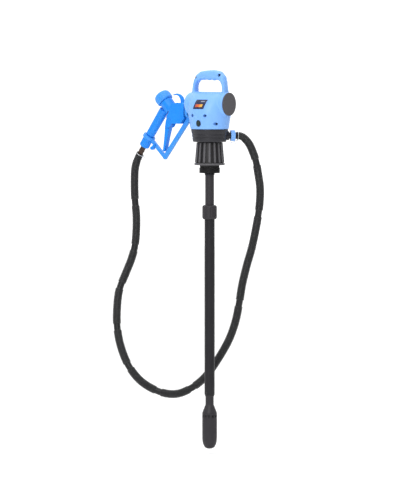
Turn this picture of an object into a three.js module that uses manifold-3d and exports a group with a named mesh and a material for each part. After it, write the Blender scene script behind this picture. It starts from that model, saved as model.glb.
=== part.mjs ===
// Drum barrel pump, in millimetres, +Z up.
// The origin is the centre of the drum bung's seat, +X runs toward the battery cap, -Y is the switch side.
import * as THREE from 'three';
import { mergeVertices } from 'three/addons/utils/BufferGeometryUtils.js';
import Module from 'manifold-3d';

const wasm = await Module();
wasm.setup();

// ---------- driving dimensions ----------
const GAP = 0.3; // clearance left between touching pieces
const WALL = 3; // head shell wall
const END_WALL = 4.5; // closed end of the battery barrel

const BATTERY_Z = 177; // battery barrel axis height
const BATTERY_R = 34; // outside of the barrel on the head
const BATTERY_X0 = -71.5; // closed end of the barrel
const BATTERY_X1 = 65.7; // open end of the barrel
const CAP_X = 70; // face of the battery cap
const CELL_TUBE_R = 30; // tube that carries the cells
const CELL_R = 12.75;
const CELL_LENGTH = 49.4;
const CELL_PITCH_R = 15.1; // cells' distance from the barrel's axis

const HANDLE_Y = 13; // half width of the carrying handle
const SCREW_R = 1.6;
const SCREW_HEAD_R = 3.7;
const SCREW_HOLE_R = 2;

const COLLAR_TOP = 104.4; // black outlet housing
const COLLAR_BOTTOM = 67.3;
const OUTLET_Z = 85;
const OUTLET_ANGLE = Math.PI / 4; // outlet's direction, from +X toward +Y

const TUBE_R = 12.9; // upper suction tube
const LOWER_TUBE_R = 14.8;
const LOWER_TUBE_TOP = -125.5;
const LOWER_TUBE_END = -667;
const FOOT_R = 21.5;

const NOZZLE_Y = 66; // plane the nozzle hangs in
const SPOUT_R = 12;
const SPOUT_X = -54; // upright end of the spout
const HOSE_R = 11.2;

// ---------- materials ----------
function material(color, roughness, metalness) {
  return () => new THREE.MeshStandardMaterial({ color, roughness, metalness });
}
const blue = material(0x3c96ee, 0.4, 0);
const paleBlue = material(0x7db4f2, 0.4, 0);
const black = material(0x38383a, 0.55, 0);
const darkGrey = material(0x56555a, 0.6, 0);
const rubber = material(0x222222, 0.85, 0);
const steel = material(0xb9bcc0, 0.3, 1);
const brass = material(0xc9a455, 0.35, 1);
const board = material(0x1f5a38, 0.6, 0);
const cellSkin = material(0x8a8f96, 0.35, 0.3);
const label = material(0x1d2b57, 0.4, 0);

// ---------- solids ----------
function signedVolume(position, index) {
  const a = new THREE.Vector3();
  const b = new THREE.Vector3();
  const c = new THREE.Vector3();
  let sum = 0;
  for (let i = 0; i < index.length; i += 3) {
    a.fromBufferAttribute(position, index[i]);
    b.fromBufferAttribute(position, index[i + 1]);
    c.fromBufferAttribute(position, index[i + 2]);
    sum += a.dot(b.cross(c));
  }
  return sum;
}

// A closed three.js geometry as a solid whose faces look outward.
function solid(geometry) {
  geometry.deleteAttribute('normal');
  geometry.deleteAttribute('uv');
  const merged = mergeVertices(geometry, 1e-4);
  const triangles = [];
  const source = merged.index.array;
  for (let i = 0; i < source.length; i += 3) {
    const [a, b, c] = [source[i], source[i + 1], source[i + 2]];
    if (a !== b && b !== c && c !== a) triangles.push(a, b, c);
  }
  if (signedVolume(merged.attributes.position, triangles) < 0) triangles.reverse();
  const mesh = new wasm.Mesh({
    numProp: 3,
    vertProperties: new Float32Array(merged.attributes.position.array),
    triVerts: new Uint32Array(triangles),
  });
  return new wasm.Manifold(mesh);
}

function vec(x, y, z) {
  return new THREE.Vector3(x, y, z);
}

// A profile of [radius, distance] pairs turned round the line through origin along direction.
function turned(profile, origin, direction, sides) {
  const outline = profile.map(([r, d]) => new THREE.Vector2(r, d));
  if (profile[0][0] > 0) outline.push(outline[0].clone());
  const geometry = new THREE.LatheGeometry(outline, sides);
  const spin = new THREE.Quaternion().setFromUnitVectors(vec(0, 1, 0), direction.clone().normalize());
  geometry.applyQuaternion(spin);
  geometry.translate(origin.x, origin.y, origin.z);
  return solid(geometry);
}

function turnedZ(profile, sides) {
  return turned(profile, vec(0, 0, 0), vec(0, 0, 1), sides);
}

function rod(r, from, to, sides) {
  return cone(r, r, from, to, sides);
}

function cone(r0, r1, from, to, sides) {
  const length = from.distanceTo(to);
  const profile = [[0, 0], [r0, 0], [r1, length], [0, length]];
  return turned(profile, from, to.clone().sub(from), sides);
}

function tube(outer, inner, from, to, sides) {
  const length = from.distanceTo(to);
  const profile = [[inner, 0], [outer, 0], [outer, length], [inner, length]];
  return turned(profile, from, to.clone().sub(from), sides);
}

function box(x0, x1, y0, y1, z0, z1) {
  const geometry = new THREE.BoxGeometry(x1 - x0, y1 - y0, z1 - z0);
  geometry.translate((x0 + x1) / 2, (y0 + y1) / 2, (z0 + z1) / 2);
  return solid(geometry);
}

// An outline of [x, z] pairs, thick from y0 to y1, with optional rounded edges.
function plate(outline, y0, y1, round = 0) {
  const shape = new THREE.Shape(outline.map(([x, z]) => new THREE.Vector2(x, z)));
  const geometry = new THREE.ExtrudeGeometry(shape, {
    depth: y1 - y0 - 2 * round,
    bevelEnabled: round > 0,
    bevelSize: round,
    bevelOffset: -round,
    bevelThickness: round,
    bevelSegments: 1,
    curveSegments: 4,
  });
  geometry.rotateX(Math.PI / 2);
  geometry.translate(0, y1 - round, 0);
  return solid(geometry);
}

// A round bar along a smooth curve through the points.
function bar(points, r, sides, steps) {
  const path = new THREE.CatmullRomCurve3(points, false, 'centripetal');
  const circle = [];
  for (let i = 0; i < sides; i += 1) {
    const turn = (2 * Math.PI * i) / sides;
    circle.push(new THREE.Vector2(r * Math.cos(turn), r * Math.sin(turn)));
  }
  return solid(new THREE.ExtrudeGeometry(new THREE.Shape(circle), { steps, extrudePath: path }));
}

// A skin over rings of points, closed flat at both ends.
function loft(rings) {
  const count = rings[0].length;
  const positions = rings.flat().flatMap((p) => [p.x, p.y, p.z]);
  const index = [];
  for (let k = 0; k + 1 < rings.length; k += 1) {
    for (let i = 0; i < count; i += 1) {
      const a = k * count + i;
      const b = k * count + ((i + 1) % count);
      index.push(a, b, b + count, a, b + count, a + count);
    }
  }
  for (let i = 1; i + 1 < count; i += 1) {
    const top = (rings.length - 1) * count;
    index.push(0, i + 1, i, top, top + i, top + i + 1);
  }
  const geometry = new THREE.BufferGeometry();
  geometry.setAttribute('position', new THREE.Float32BufferAttribute(positions, 3));
  geometry.setIndex(index);
  return solid(geometry);
}

// ---------- the group ----------
const group = new THREE.Group();
group.name = 'drum_barrel_pump';

function part(name, body, makeMaterial) {
  const { vertProperties, triVerts } = body.getMesh();
  const geometry = new THREE.BufferGeometry();
  geometry.setAttribute('position', new THREE.Float32BufferAttribute(vertProperties, 3));
  geometry.setIndex(new THREE.Uint32BufferAttribute(triVerts, 1));
  geometry.computeVertexNormals();
  const mesh = new THREE.Mesh(geometry, makeMaterial());
  mesh.name = name;
  group.add(mesh);
}

// ---------- head shells ----------
// [height, half width along X, half width along Y, roundness exponent]
const HEAD_SECTIONS = [
  [104.8, 55.5, 55.5, 2],
  [124, 58.2, 58.2, 2],
  [142, 61.2, 61, 2],
  [150, 62, 61, 2.05],
  [164, 62, 58.5, 2.15],
  [178, 62, 54, 2.2],
  [190, 61, 47, 2.25],
  [200, 60, 38, 2.3],
  [208, 58.5, 28, 2.3],
  [212.3, 56.5, 18, 2.3],
];

function ovalRing(z, a, b, exponent, sides) {
  const ring = [];
  for (let i = 0; i < sides; i += 1) {
    const turn = (2 * Math.PI * i) / sides;
    const c = Math.cos(turn);
    const s = Math.sin(turn);
    const x = a * Math.sign(c) * Math.abs(c) ** (2 / exponent);
    const y = b * Math.sign(s) * Math.abs(s) ** (2 / exponent);
    ring.push(vec(x, y, z));
  }
  return ring;
}

function headLoft(grow, sides) {
  const first = HEAD_SECTIONS[0][0];
  const last = HEAD_SECTIONS.at(-1)[0];
  const rings = HEAD_SECTIONS.map(([z, a, b, exponent]) => {
    const height = z === first ? z - grow : z === last ? z + grow : z;
    return ovalRing(height, a + grow, b + grow, exponent, sides);
  });
  return loft(rings);
}

const HANDLE_OUTLINE = [
  [-57, 200], [-56, 212], [-54, 226], [-51, 240], [-47, 252], [-38, 263], [-22, 272], [-4, 274.5],
  [17, 276], [35, 273.5], [43, 268], [51, 257], [55, 246], [58, 229], [60, 213], [60, 200],
];
const HANDLE_OPENING = [
  [-45, 212.4], [-44, 226], [-41, 238], [-34, 245], [-27, 247], [-18, 244.5], [-9, 247], [0, 244.5],
  [9, 247], [18, 244.5], [27, 247], [36, 245], [44, 238], [47.5, 229], [48, 221], [41, 215], [32, 212.4],
];

const barrelStart = vec(BATTERY_X0, 0, BATTERY_Z);
const barrelEnd = vec(BATTERY_X1, 0, BATTERY_Z);
const headOutside = headLoft(0, 28)
  .add(turned(
    [[0, 0], [24, 0], [30.5, 2.2], [33, 6], [BATTERY_R, 12],
      [BATTERY_R, BATTERY_X1 - BATTERY_X0], [0, BATTERY_X1 - BATTERY_X0]],
    barrelStart, vec(1, 0, 0), 28,
  ))
  .add(plate(HANDLE_OUTLINE, -HANDLE_Y, HANDLE_Y, 5))
  .subtract(plate(HANDLE_OPENING, -40, 40));

const boreR = CELL_TUBE_R + GAP;
const barrelBore = rod(boreR, vec(BATTERY_X0 + END_WALL, 0, BATTERY_Z), vec(CAP_X, 0, BATTERY_Z), 24);
const headInside = headLoft(-WALL, 18);

// [x, z, y of the head's seat, y of the tip]
const SHELL_SCREWS = [
  [-21.5, 144.2, -44, 12],
  [21.5, 144.2, -44, 12],
  [-44.6, 120.5, -25, 12],
  [44.6, 120.5, -25, 12],
  [-42, 254, -5, 9],
  [41, 261, -5, 9],
];
let posts = null;
let screwHoles = null;
for (const [x, z, seat, tip] of SHELL_SCREWS) {
  const post = rod(5.6, vec(x, -70, z), vec(x, 70, z), 8);
  const hole = rod(SCREW_HOLE_R, vec(x, seat - 1, z), vec(x, tip + 1, z), 8)
    .add(rod(SCREW_HEAD_R + 0.6, vec(x, -80, z), vec(x, seat, z), 10));
  posts = posts ? posts.add(post) : post;
  screwHoles = screwHoles ? screwHoles.add(hole) : hole;
}

const SWITCH_Z = 122;
function oval(halfWidth, halfHeight, z, sides) {
  const outline = [];
  for (let i = 0; i < sides; i += 1) {
    const turn = (2 * Math.PI * i) / sides;
    const lift = Math.sign(Math.sin(turn)) * (halfHeight - halfWidth);
    outline.push([halfWidth * Math.cos(turn), z + halfWidth * Math.sin(turn) + lift]);
  }
  return outline;
}
const switchPocket = plate(oval(7.7, 9.7, SWITCH_Z, 18), -70, -56.4)
  .add(plate(oval(6.1, 8.1, SWITCH_Z, 18), -70, -45));

const LABEL_OUTLINE = [[-21, 163.5], [16, 163.5], [24, 190.5], [-13, 190.5]];
const labelSkin = headLoft(0.6, 28).subtract(headLoft(-0.7, 28));
const labelPocket = plate(LABEL_OUTLINE.map(([x, z]) => [x * 1.015, z + (z - BATTERY_Z) * 0.02]), -70, -20)
  .intersect(headLoft(2, 36).subtract(headLoft(-1, 36)));

const LEAD_HOLE_R = 7;
const headBody = headOutside
  .subtract(headInside)
  .add(posts.intersect(headOutside))
  .subtract(barrelBore)
  .subtract(screwHoles)
  .subtract(switchPocket)
  .subtract(labelPocket)
  .subtract(rod(LEAD_HOLE_R, vec(0, 0, 100), vec(0, 0, 112), 16));

// The nozzle holder's two screws enter the rear shell.
const holderOut = vec(SPOUT_X, NOZZLE_Y, 0).normalize();
const holderSide = vec(holderOut.y, -holderOut.x, 0);
const HOLDER_Z0 = 109;
const HOLDER_Z1 = 123;
const HOLDER_FACE = 63; // pad face's distance from the pump's axis
const HOLDER_SCREW_SIDE = 14;
function holderPoint(out, side, z) {
  return vec(0, 0, z).addScaledVector(holderOut, out).addScaledVector(holderSide, side);
}
const holderScrewZ = (HOLDER_Z0 + HOLDER_Z1) / 2;
let holderHoles = null;
for (const side of [-HOLDER_SCREW_SIDE, HOLDER_SCREW_SIDE]) {
  const inner = holderPoint(40, side, holderScrewZ);
  const hole = rod(SCREW_HOLE_R, inner, holderPoint(80, side, holderScrewZ), 10);
  holderHoles = holderHoles ? holderHoles.add(hole) : hole;
}

const FAR = 400;
const frontHalf = box(-FAR, FAR, -FAR, -GAP / 2, -FAR, FAR);
const rearHalf = box(-FAR, FAR, GAP / 2, FAR, -FAR, FAR);
part('head_front_shell', headBody.intersect(frontHalf), blue);
part('head_rear_shell', headBody.intersect(rearHalf).subtract(holderHoles), blue);

SHELL_SCREWS.forEach(([x, z, seat, tip], i) => {
  const length = tip - seat;
  const profile = [
    [0, -2.6], [SCREW_HEAD_R - 1, -2.6], [SCREW_HEAD_R, -1.6], [SCREW_HEAD_R, -GAP],
    [SCREW_R, -GAP], [SCREW_R, length - 2], [0, length],
  ];
  part(`head_screw_${i + 1}`, turned(profile, vec(x, seat, z), vec(0, 1, 0), 8), steel);
});

// ---------- battery barrel ----------
const cellTubeX0 = BATTERY_X0 + END_WALL + GAP;
const CELL_TUBE_X1 = 64;
part(
  'battery_tube',
  tube(CELL_TUBE_R, CELL_TUBE_R - 1.7, vec(cellTubeX0, 0, BATTERY_Z), vec(CELL_TUBE_X1, 0, BATTERY_Z), 24),
  black,
);
const innerR = CELL_TUBE_R - 2;
const fixedContactX = cellTubeX0 + 1.2;
part(
  'battery_contact_plate',
  rod(innerR, vec(cellTubeX0, 0, BATTERY_Z), vec(fixedContactX, 0, BATTERY_Z), 24),
  brass,
);
for (let i = 0; i < 6; i += 1) {
  const turn = Math.PI / 2 + ((i % 3) * 2 * Math.PI) / 3;
  const y = CELL_PITCH_R * Math.cos(turn);
  const z = BATTERY_Z + CELL_PITCH_R * Math.sin(turn);
  const x0 = fixedContactX + GAP + Math.floor(i / 3) * (CELL_LENGTH + GAP + 1);
  const profile = [
    [0, 0], [CELL_R - 0.5, 0], [CELL_R, 0.6], [CELL_R, CELL_LENGTH - 1.4], [3.2, CELL_LENGTH - 1.4],
    [3.2, CELL_LENGTH], [0, CELL_LENGTH],
  ];
  part(`battery_cell_${i + 1}`, turned(profile, vec(x0, y, z), vec(1, 0, 0), 12), cellSkin);
}
const cellsEnd = fixedContactX + GAP + 2 * CELL_LENGTH + GAP + 1;
const plugX = cellsEnd + 5.6;
const capContact = rod(innerR - 1, vec(plugX - GAP - 1.2, 0, BATTERY_Z), vec(plugX - GAP, 0, BATTERY_Z), 24);
let capSprings = capContact;
for (let i = 0; i < 3; i += 1) {
  const turn = Math.PI / 2 + (i * 2 * Math.PI) / 3;
  const y = CELL_PITCH_R * Math.cos(turn);
  const z = BATTERY_Z + CELL_PITCH_R * Math.sin(turn);
  const spring = cone(3, 5.5, vec(cellsEnd + 0.5, y, z), vec(plugX - GAP - 1, y, z), 10);
  capSprings = capSprings.add(spring);
}
part('battery_cap_contact', capSprings, brass);

const capDepth = CAP_X - plugX;
const CAP_DISC = 4;
const capProfile = [
  [0, capDepth], [32.4, capDepth], [33.6, capDepth - 1], [33.6, capDepth - CAP_DISC],
  [innerR, capDepth - CAP_DISC], [innerR, 0], [innerR - 3, 0], [innerR - 3, capDepth - CAP_DISC],
  [0, capDepth - CAP_DISC],
];
part('battery_cap', turned(capProfile, vec(plugX, 0, BATTERY_Z), vec(1, 0, 0), 24), darkGrey);
part(
  'battery_cap_seal',
  tube(CELL_TUBE_R, innerR + GAP, vec(CELL_TUBE_X1 + GAP, 0, BATTERY_Z), vec(BATTERY_X1, 0, BATTERY_Z), 24),
  rubber,
);

// ---------- switch, label, board ----------
const bezelRing = plate(oval(7.4, 9.4, SWITCH_Z, 18), -58.8, -56.7)
  .subtract(plate(oval(5.8, 7.8, SWITCH_Z, 18), -70, -45));
part('switch_bezel', bezelRing, black);
const ROCKER_PIVOT_Y = -55;
part('switch_rocker', plate(oval(5.2, 7.1, SWITCH_Z, 14), -61, -53, 0.8), rubber);
part('switch_body', box(-5.5, 5.5, -51.6, -41, SWITCH_Z - 8, SWITCH_Z + 8), black);
part('label_plate', plate(LABEL_OUTLINE, -70, -20).intersect(labelSkin), label);
part('control_board', box(-27, 27, -24, 24, 112.5, 114.1), board);

// ---------- outlet housing ----------
const outletOut = vec(Math.cos(OUTLET_ANGLE), Math.sin(OUTLET_ANGLE), 0);
function outletPoint(out, z = OUTLET_Z) {
  return vec(0, 0, z).addScaledVector(outletOut, out);
}
const NECK_R = 26;
const NECK_BOTTOM = 30;
const CHAMBER_R = 10;
const TUBE_SEAT_Z = 72.5;
const housingProfile = [
  [TUBE_R + GAP, NECK_BOTTOM], [NECK_R, NECK_BOTTOM], [NECK_R, COLLAR_BOTTOM], [46.8, COLLAR_BOTTOM],
  [48, COLLAR_BOTTOM + 1.2], [49.9, 79], [49.4, 80], [50.4, 81], [53.7, 103.4], [52.7, COLLAR_TOP],
  [49.5, COLLAR_TOP], [44.5, 71.5], [17, 71.5], [17, 98],
  [2.5, 98], [2.5, 93], [CHAMBER_R, 93], [CHAMBER_R, TUBE_SEAT_Z], [TUBE_R + GAP, TUBE_SEAT_Z],
];
const SPIGOT_END = 69.5;
const housing = turnedZ(housingProfile, 24)
  .add(rod(12.5, outletPoint(14), outletPoint(55.5), 14))
  .add(rod(9, outletPoint(50), outletPoint(62), 12))
  .add(rod(10.6, outletPoint(61), outletPoint(SPIGOT_END), 14))
  .subtract(rod(6, outletPoint(4), outletPoint(SPIGOT_END + 2), 10));
part('outlet_housing', housing, black);

const NUT_IN = 61.5;
const nutProfile = [
  [11, 0], [15, 0], [16, 1], [16, 12], [15, 13], [8.1, 13], [8.1, 11.1], [11, 11.1],
];
part('outlet_union_nut', turned(nutProfile, outletPoint(NUT_IN), outletOut, 18), blue);
const HOSE_START = 79.5;
const barbProfile = [
  [5.5, 0], [10.5, 0], [10.5, 2.4], [7.6, 2.4], [7.6, 5.6], [8.4, 6],
  [7.6, HOSE_START - SPIGOT_END - 2 * GAP],
  [5.5, HOSE_START - SPIGOT_END - 2 * GAP],
];
part('outlet_barb', turned(barbProfile, outletPoint(SPIGOT_END + GAP), outletOut, 14), black);

// ---------- suction tube and bung adaptor ----------
const UPPER_TUBE_END = -480;
const upperTube = tube(TUBE_R, TUBE_R - 1.6, vec(0, 0, UPPER_TUBE_END), vec(0, 0, TUBE_SEAT_Z - GAP), 20);
part('upper_tube', upperTube, black);
part('tube_retaining_ring', tube(14.4, TUBE_R + GAP, vec(0, 0, -28.6), vec(0, 0, -23.6), 20), steel);

const RIB_COUNT = 16;
const adaptorProfile = [
  [NECK_R + 0.4, 66.6], [NECK_R + 0.4, NECK_BOTTOM - 0.4], [TUBE_R + 0.4, NECK_BOTTOM - 0.4],
  [TUBE_R + 0.4, -23],
  [29, -23], [30.5, -21.5], [30.5, -9], [29.3, -7.5], [24.5, -7.5], [24.5, 0.8], [31.5, 0.8],
  [31.5, 0], [42.6, 0], [44.4, 1.6],
  [44.4, 5], [39.6, 7], [34.6, 65], [33.4, 66.6],
];
let adaptor = turnedZ(adaptorProfile, 24);
for (let i = 0; i < RIB_COUNT; i += 1) {
  const turn = (2 * Math.PI * (i + 0.5)) / RIB_COUNT;
  const out = vec(Math.cos(turn), Math.sin(turn), 0);
  const side = vec(-out.y, out.x, 0);
  const ring = (r, z, half) => [[r - 5, -half], [r, -half], [r, half], [r - 5, half]]
    .map(([d, s]) => vec(0, 0, z).addScaledVector(out, d).addScaledVector(side, s));
  adaptor = adaptor.add(loft([ring(43, 6.2, 3.2), ring(38, 66.2, 2.8)]));
}
part('bung_adaptor', adaptor, black);
part('bung_seal', tube(28.2, 24.5 + 0.5, vec(0, 0, -7.2), vec(0, 0, -GAP), 20), rubber);

const lockNutProfile = [
  [TUBE_R + GAP, -116], [17.4, -116], [21.2, -120.5], [21.2, -152.5], [19, -157], [15.1, -157],
  [15.1, -125], [17.2, -125], [17.2, -121], [TUBE_R + GAP, -121],
];
part('lock_nut', turnedZ(lockNutProfile, 20), black);
const sealProfile = [];
for (let i = 0; i < 6; i += 1) {
  const turn = (2 * Math.PI * i) / 6;
  sealProfile.push([15.1 + 1.6 * Math.cos(turn), -123 + 1.6 * Math.sin(turn)]);
}
part('tube_seal', turnedZ(sealProfile, 18), rubber);
part(
  'lower_tube',
  tube(LOWER_TUBE_R, LOWER_TUBE_R - 1.6, vec(0, 0, LOWER_TUBE_END), vec(0, 0, LOWER_TUBE_TOP), 20),
  black,
);

// ---------- foot: pump casing, impeller, motor ----------
const casingProfile = [
  [9, -650], [12.9, -650], [12.9, LOWER_TUBE_END - GAP], [12, -668.6], [12, -697], [14.5, -700.5],
  [FOOT_R - 0.6, -718], [FOOT_R, -720], [FOOT_R, -726], [18.8, -726], [18.8, -721], [11, -703], [9, -697],
];
part('pump_casing', turnedZ(casingProfile, 20), black);
const cupProfile = [
  [0, -824], [8, -823], [14.5, -819], [19, -810], [21, -801], [FOOT_R, -793], [FOOT_R, -726.3],
  [18.8, -726.3], [18.8, -737], [17.2, -737], [17.2, -800], [0, -800],
];
let cup = turnedZ(cupProfile, 20);
const INTAKE_SLOTS = 12;
for (let i = 0; i < INTAKE_SLOTS / 2; i += 1) {
  const slot = box(-30, 30, -2.6, 2.6, -732, -720).rotate([0, 0, (i * 360) / INTAKE_SLOTS]);
  cup = cup.subtract(slot);
}
part('motor_cup', cup, black);
part('motor_seal_plate', tube(18.4, 2.2, vec(0, 0, -736.6), vec(0, 0, -733.6), 18), rubber);
part('pump_motor', tube(16.8, 2.2, vec(0, 0, -799.6), vec(0, 0, -742), 16), steel);
let impeller = turnedZ(
  [[0, -790], [1.6, -790], [1.6, -724.5], [15, -724.5], [15, -722.9], [5, -722.9], [4, -708], [0, -706]],
  14,
);
const BLADES = 5;
for (let i = 0; i < BLADES; i += 1) {
  const blade = box(3, 14.4, -0.8, 0.8, -723.5, -717).rotate([0, 0, (i * 360) / BLADES]);
  impeller = impeller.add(blade);
}
part('impeller', impeller, brass);

// The motor's lead is coiled inside the tubes so that it follows the lower tube.
const LEAD_TOP = 112.2;
const LEAD_END = -649.6;
const LEAD_TURNS = 8;
const leadPoints = [vec(0, 0, LEAD_TOP), vec(0, 0, 90), vec(1.5, 0, 60)];
const LEAD_STEPS = LEAD_TURNS * 6;
for (let i = 0; i <= LEAD_STEPS; i += 1) {
  const turn = (2 * Math.PI * i) / 6;
  const z = 40 - (i / LEAD_STEPS) * 650;
  leadPoints.push(vec(5.5 * Math.cos(turn), 5.5 * Math.sin(turn), z));
}
leadPoints.push(vec(9, 0, -630), vec(10.9, 0, LEAD_END));
part('motor_lead', bar(leadPoints, 1.5, 4, LEAD_STEPS + 8), rubber);

// ---------- nozzle ----------
function inPlane(x, z, y = NOZZLE_Y) {
  return vec(x, y, z);
}
const gripLow = inPlane(-254, 82);
const gripHigh = inPlane(-207, 154);
const gripAxis = gripHigh.clone().sub(gripLow).normalize();
function onGrip(s) {
  return gripLow.clone().addScaledVector(gripAxis, s);
}
const capCentre = inPlane(-209, 193);
const barrelAxis = inPlane(-209, 193).sub(inPlane(-182, 162)).normalize(); // up and away from the block
function onBarrel(s) {
  return capCentre.clone().addScaledVector(barrelAxis, s);
}
function slab(outline, half, round = 0) {
  return plate(outline, NOZZLE_Y - half, NOZZLE_Y + half, round);
}

const BLOCK_OUTLINE = [
  [-170, 116], [-137, 116], [-128.6, 127.2], [-125, 131.5], [-125, 174], [-129, 177.5], [-165, 177.5],
  [-178, 164], [-178, 150],
  [-185, 139], [-187.5, 132.5], [-172, 132.5], [-170, 130],
];
const HOOK_OUTLINE = [
  [-133.5, 174], [-135, 186], [-139, 195], [-146, 201.5], [-158, 205], [-171, 201.5],
  [-170.5, 198.3], [-158, 200], [-150, 195.8], [-145, 188], [-142.5, 174],
];
const PIVOT = [-182, 116];
const EAR_OUTLINE = [
  [-187.5, 134], [-191, 124], [-192.5, 114], [-190, 106], [-184, 103.5], [-178, 105], [-174, 110],
  [-171.5, 116],
  [-168, 118], [-164, 134],
];
const EAR_IN = 9.6;
const EAR_OUT = 13.5;
const SPOUT_IN_BLOCK = -150;
const SPOUT_Z = 150;
const VALVE_BORE_R = 12;
const pivotPoint = (y) => vec(PIVOT[0], NOZZLE_Y + y, PIVOT[1]);

const nozzleBody = slab(BLOCK_OUTLINE, 17, 3)
  .add(cone(13.2, 14.4, onGrip(0), inPlane(-203.6, 156), 16))
  .add(cone(20, 19, onBarrel(-16.3), onBarrel(-50), 18))
  .add(slab(HOOK_OUTLINE, 5))
  .add(plate(EAR_OUTLINE, NOZZLE_Y - EAR_OUT, NOZZLE_Y - EAR_IN))
  .add(plate(EAR_OUTLINE, NOZZLE_Y + EAR_IN, NOZZLE_Y + EAR_OUT))
  .add(rod(8.6, onGrip(-24), onGrip(1), 14))
  .subtract(rod(VALVE_BORE_R, onBarrel(0), onBarrel(-44), 14))
  .subtract(rod(6, onBarrel(-40), onBarrel(-58), 10))
  .subtract(rod(5.5, onGrip(-30), onGrip(84), 10))
  .subtract(rod(SPOUT_R + GAP, inPlane(SPOUT_IN_BLOCK - GAP, SPOUT_Z), inPlane(-100, SPOUT_Z), 14))
  .subtract(rod(6, inPlane(-172, SPOUT_Z), inPlane(-140, SPOUT_Z), 10))
  .subtract(rod(2.8, pivotPoint(-20), pivotPoint(20), 8));
part('nozzle_body', nozzleBody, blue);
part('trigger_pin', rod(2.4, pivotPoint(-EAR_OUT - 0.8), pivotPoint(EAR_OUT + 0.8), 12), steel);

const valveCap = turned(
  [[0, 13], [17, 13], [22, 9], [25, 1], [25, -13], [23.5, -16], [12.3, -16], [12.3, 5], [0, 5]],
  capCentre, barrelAxis, 20,
);
part('valve_cap', valveCap, paleBlue);
const valveProfile = [
  [0, -52], [2.6, -52], [3.2, -40], [10.8, -36.5], [10.8, -32], [3.5, -31], [3.5, -8], [0, -8],
];
part('valve_poppet', turned(valveProfile, capCentre, barrelAxis, 12), brass);
const springPoints = [];
const SPRING_TURNS = 4;
const springSide = vec(0, 1, 0);
const springUp = vec(0, 0, 0).crossVectors(barrelAxis, springSide);
for (let i = 0; i <= SPRING_TURNS * 8; i += 1) {
  const turn = (2 * Math.PI * i) / 8;
  const s = -29.4 + (i / (SPRING_TURNS * 8)) * 27;
  const point = onBarrel(s)
    .addScaledVector(springSide, 7.5 * Math.cos(turn))
    .addScaledVector(springUp, 7.5 * Math.sin(turn));
  springPoints.push(point);
}
part('valve_spring', bar(springPoints, 1.1, 5, SPRING_TURNS * 8), steel);

const TRIGGER_OUTLINE = [
  [-190.5, 126], [-194.8, 118], [-196.6, 104], [-197.4, 90], [-199.5, 70], [-202.6, 46], [-203.8, 37],
  [-202, 34.5],
  [-199.5, 34.3], [-197, 38], [-193, 57], [-187, 82], [-181, 103], [-176.5, 114], [-175, 122], [-176, 127],
  [-179, 129.5], [-186, 129.5],
];
const TRIGGER_HALF = 9;
const trigger = slab(TRIGGER_OUTLINE, TRIGGER_HALF, 1.5)
  .subtract(rod(2.8, pivotPoint(-20), pivotPoint(20), 8));
part('trigger', trigger, blue);

const GUARD_OUTLINE = [
  [-257.9, 72.5], [-208, 18], [-203.5, 11.5], [-197.5, 10.8], [-192.5, 18], [-118, 117.5],
  [-113.6, 124], [-113.6, 136.5],
  [-122.6, 136.5], [-122.6, 131], [-127.5, 126], [-202, 26.5], [-247.5, 74.2],
];
const NUT_TOP = -1.2;
const NUT_BOTTOM = -40;
const guardRing = tube(19, 15.7, onGrip(NUT_TOP - 10), onGrip(NUT_TOP - 1), 18);
const guardEye = tube(16.5, SPOUT_R + 0.6, inPlane(-122.6, SPOUT_Z), inPlane(-113.6, SPOUT_Z), 14);
const LATCH_PIVOT = [-233, 52.6];
const latchPoint = (y) => vec(LATCH_PIVOT[0], NOZZLE_Y + y, LATCH_PIVOT[1]);
const guard = slab(GUARD_OUTLINE, 5)
  .add(guardRing)
  .add(guardEye)
  .subtract(rod(15.7, onGrip(NUT_BOTTOM), onGrip(NUT_TOP), 18))
  .subtract(rod(SPOUT_R + 0.6, inPlane(-124, SPOUT_Z), inPlane(-112, SPOUT_Z), 14))
  .subtract(rod(2.4, latchPoint(-8), latchPoint(8), 8));
part('trigger_guard', guard, paleBlue);

const KNOB = [-244, 43.5];
const LATCH_ARM = [[-230.2, 53.8], [-233.6, 49.2], [-241.4, 40.2], [-247, 46.2], [-235.6, 56.4]];
const latch = plate(LATCH_ARM, NOZZLE_Y - 8.6, NOZZLE_Y - 5.4)
  .add(rod(5, vec(KNOB[0], NOZZLE_Y - 8.6, KNOB[1]), vec(KNOB[0], NOZZLE_Y + 5, KNOB[1]), 12))
  .add(rod(2, latchPoint(-8), latchPoint(6), 8));
part('hold_open_latch', latch, blue);

const swivelLength = NUT_TOP - NUT_BOTTOM;
const swivelProfile = [
  [8.1, 0], [13.5, 0], [15, 2], [15, swivelLength - 11], [15.3, swivelLength - 10], [15.3, swivelLength - 2],
  [14, swivelLength], [9.1, swivelLength], [9.1, 8], [8.1, 8],
];
part('swivel_nut', turned(swivelProfile, onGrip(NUT_BOTTOM), gripAxis, 18), blue);
const nozzleBarbProfile = [
  [5.5, -63], [7, -63], [8.2, -58], [7.4, -57.6], [7.8, -31], [7.8, -28.2], [8.7, -28.2], [8.7, -25],
  [5.5, -25],
];
part('nozzle_barb', turned(nozzleBarbProfile, gripLow, gripAxis, 14), black);

const spoutPoints = [
  inPlane(SPOUT_IN_BLOCK, SPOUT_Z), inPlane(-125, SPOUT_Z), inPlane(-100, SPOUT_Z), inPlane(-82, 148.5),
  inPlane(-67, 142), inPlane(-57.5, 131), inPlane(SPOUT_X, 117), inPlane(SPOUT_X, 100), inPlane(SPOUT_X, 60),
  inPlane(SPOUT_X, 16),
];
const spoutBore = [inPlane(SPOUT_IN_BLOCK - 3, SPOUT_Z), ...spoutPoints.slice(1, -1), inPlane(SPOUT_X, 12)];
part('nozzle_spout', bar(spoutPoints, SPOUT_R, 10, 14).subtract(bar(spoutBore, SPOUT_R - 3, 8, 14)), black);

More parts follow.
